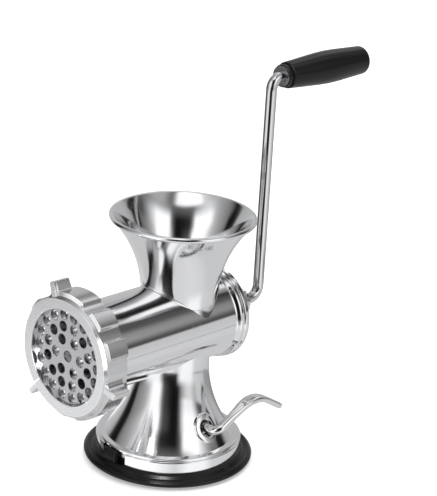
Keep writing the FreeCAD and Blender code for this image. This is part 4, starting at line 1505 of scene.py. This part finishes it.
@dataclass
class Studio:
    """Pale floor, soft light and the camera."""

    azimuth: float = 43.93
    elevation: float = 20.13
    roll: float = 3.46
    stand: tuple[float, float, float] = (864.9, -857.57, 605.04)
    lens: float = 136.37
    sensor: float = 36.0
    sight: float = 20.0
    floor_half: float = 3.0
    floor_glow: float = 0.35
    floor_finish: Finish = Finish(
        "pale_floor", grey(0.93), grey(0.91), rough=0.6, spread=0.03, grain=60.0, depth=0.0, metallic=0.0
    )
    boxes: tuple[SoftBox, ...] = (
        SoftBox("overhead", (0.1, -0.2, 3.0), (5.0, 5.0), 125.0),
        SoftBox("left_box", (-0.9, -1.2, 0.5), (0.9, 0.9), 2.5, True, (SATIN_CAST,)),
        SoftBox("right_box", (0.95, -1.1, 0.3), (0.9, 0.5), 9.0, True, (SATIN_CAST, GROUND_STEEL)),
        SoftBox("strip", (0.45, -0.75, 1.5), (0.9, 0.1), 20.0, True, (PAD_RUBBER, GRIP_PLASTIC)),
    )
    room_strength: float = 1.2
    layers: tuple[Layer, ...] = ROOM

    def build(self) -> None:
        """Build the floor, the surroundings, the lights and the camera."""
        self.build_floor()
        self.build_surroundings()
        for box in self.boxes:
            box.build()
        self.build_camera()

    def build_floor(self) -> None:
        """A wide pale floor just under the foot."""
        h = self.floor_half
        mesh = bpy.data.meshes.new("floor")
        mesh.from_pydata([(-h, -h, 0), (h, -h, 0), (h, h, 0), (-h, h, 0)], [], [(0, 1, 2, 3)])
        floor = hang("floor", mesh)
        pale = self.floor_finish.material()
        mesh.materials.append(pale)
        surface = pale.node_tree.nodes["Principled BSDF"]
        surface.inputs["Emission Color"].default_value = WHITE
        surface.inputs["Emission Strength"].default_value = self.floor_glow
        floor.visible_glossy = False

    def build_surroundings(self) -> None:
        """A white room with dark gaps between its soft boxes, laid out by compass direction."""
        world = bpy.data.worlds.new("studio")
        bpy.context.scene.world = world
        world.use_nodes = True
        shade = Shade(world.node_tree)
        way = shade.node("ShaderNodeTexCoord", {}, {}, "Generated")
        x, y, z = (shade.node("ShaderNodeSeparateXYZ", {}, {0: way}, part) for part in "XYZ")
        compass = shade.node("ShaderNodeMath", {"operation": "ARCTAN2"}, {0: y, 1: x})
        turn = compass * (1 / TURN) + (90.0 - self.azimuth) / 360.0
        share = shade.node("ShaderNodeMath", {"operation": "FRACT"}, {0: turn})
        seen = None
        for layer in self.layers:
            ring = shade.node("ShaderNodeValToRGB", {"stops": layer.stops()}, {0: share})
            seen = shade.blend(z.ramp(layer.start, layer.full), seen, ring) if seen else ring
        room = shade.node("ShaderNodeBackground", {}, {"Color": seen, "Strength": self.room_strength})
        plain = shade.node("ShaderNodeBackground", {}, {"Color": WHITE, "Strength": 1.0})
        direct = shade.node("ShaderNodeLightPath", {}, {}, "Is Camera Ray")
        both = shade.node("ShaderNodeMixShader", {}, {0: direct, 1: room, 2: plain})
        shade.node("ShaderNodeOutputWorld", {}, {"Surface": both})

    def build_camera(self) -> None:
        """The camera at the photograph's place, turned by its azimuth, elevation and roll."""
        a, e, roll = (math.radians(v) for v in (self.azimuth, self.elevation, self.roll))
        back = np.array([math.sin(a) * math.cos(e), -math.cos(a) * math.cos(e), math.sin(e)])
        right = np.array([math.cos(a), math.sin(a), 0.0])
        up = np.cross(back, right)
        across = math.cos(roll) * right + math.sin(roll) * up
        top = math.cos(roll) * up - math.sin(roll) * right
        data = bpy.data.cameras.new("camera")
        data.lens = self.lens
        data.sensor_width = self.sensor
        data.clip_end = self.sight
        camera = hang("camera", data)
        camera.matrix_world = stand_at(np.array(self.stand) * MM, across, top, back)
        bpy.context.scene.camera = camera
        bpy.context.scene.view_settings.view_transform = "Standard"


def main() -> None:
    """Build every sub-assembly in order, then the studio."""
    logging.basicConfig(level=logging.INFO, format="%(name)s: %(message)s")
    layout = Layout()
    for assembly in (
        Hopper(layout),
        Barrel(layout),
        Pedestal(layout),
        RearCap(layout),
        RingNut(layout),
        Worm(layout),
        Crank(layout),
        SuctionFoot(),
        Lever(layout),
    ):
        assembly.build()
    dress_nodes(frame["nodes"])
    Studio().build()


if __name__ == "__main__":
    main()
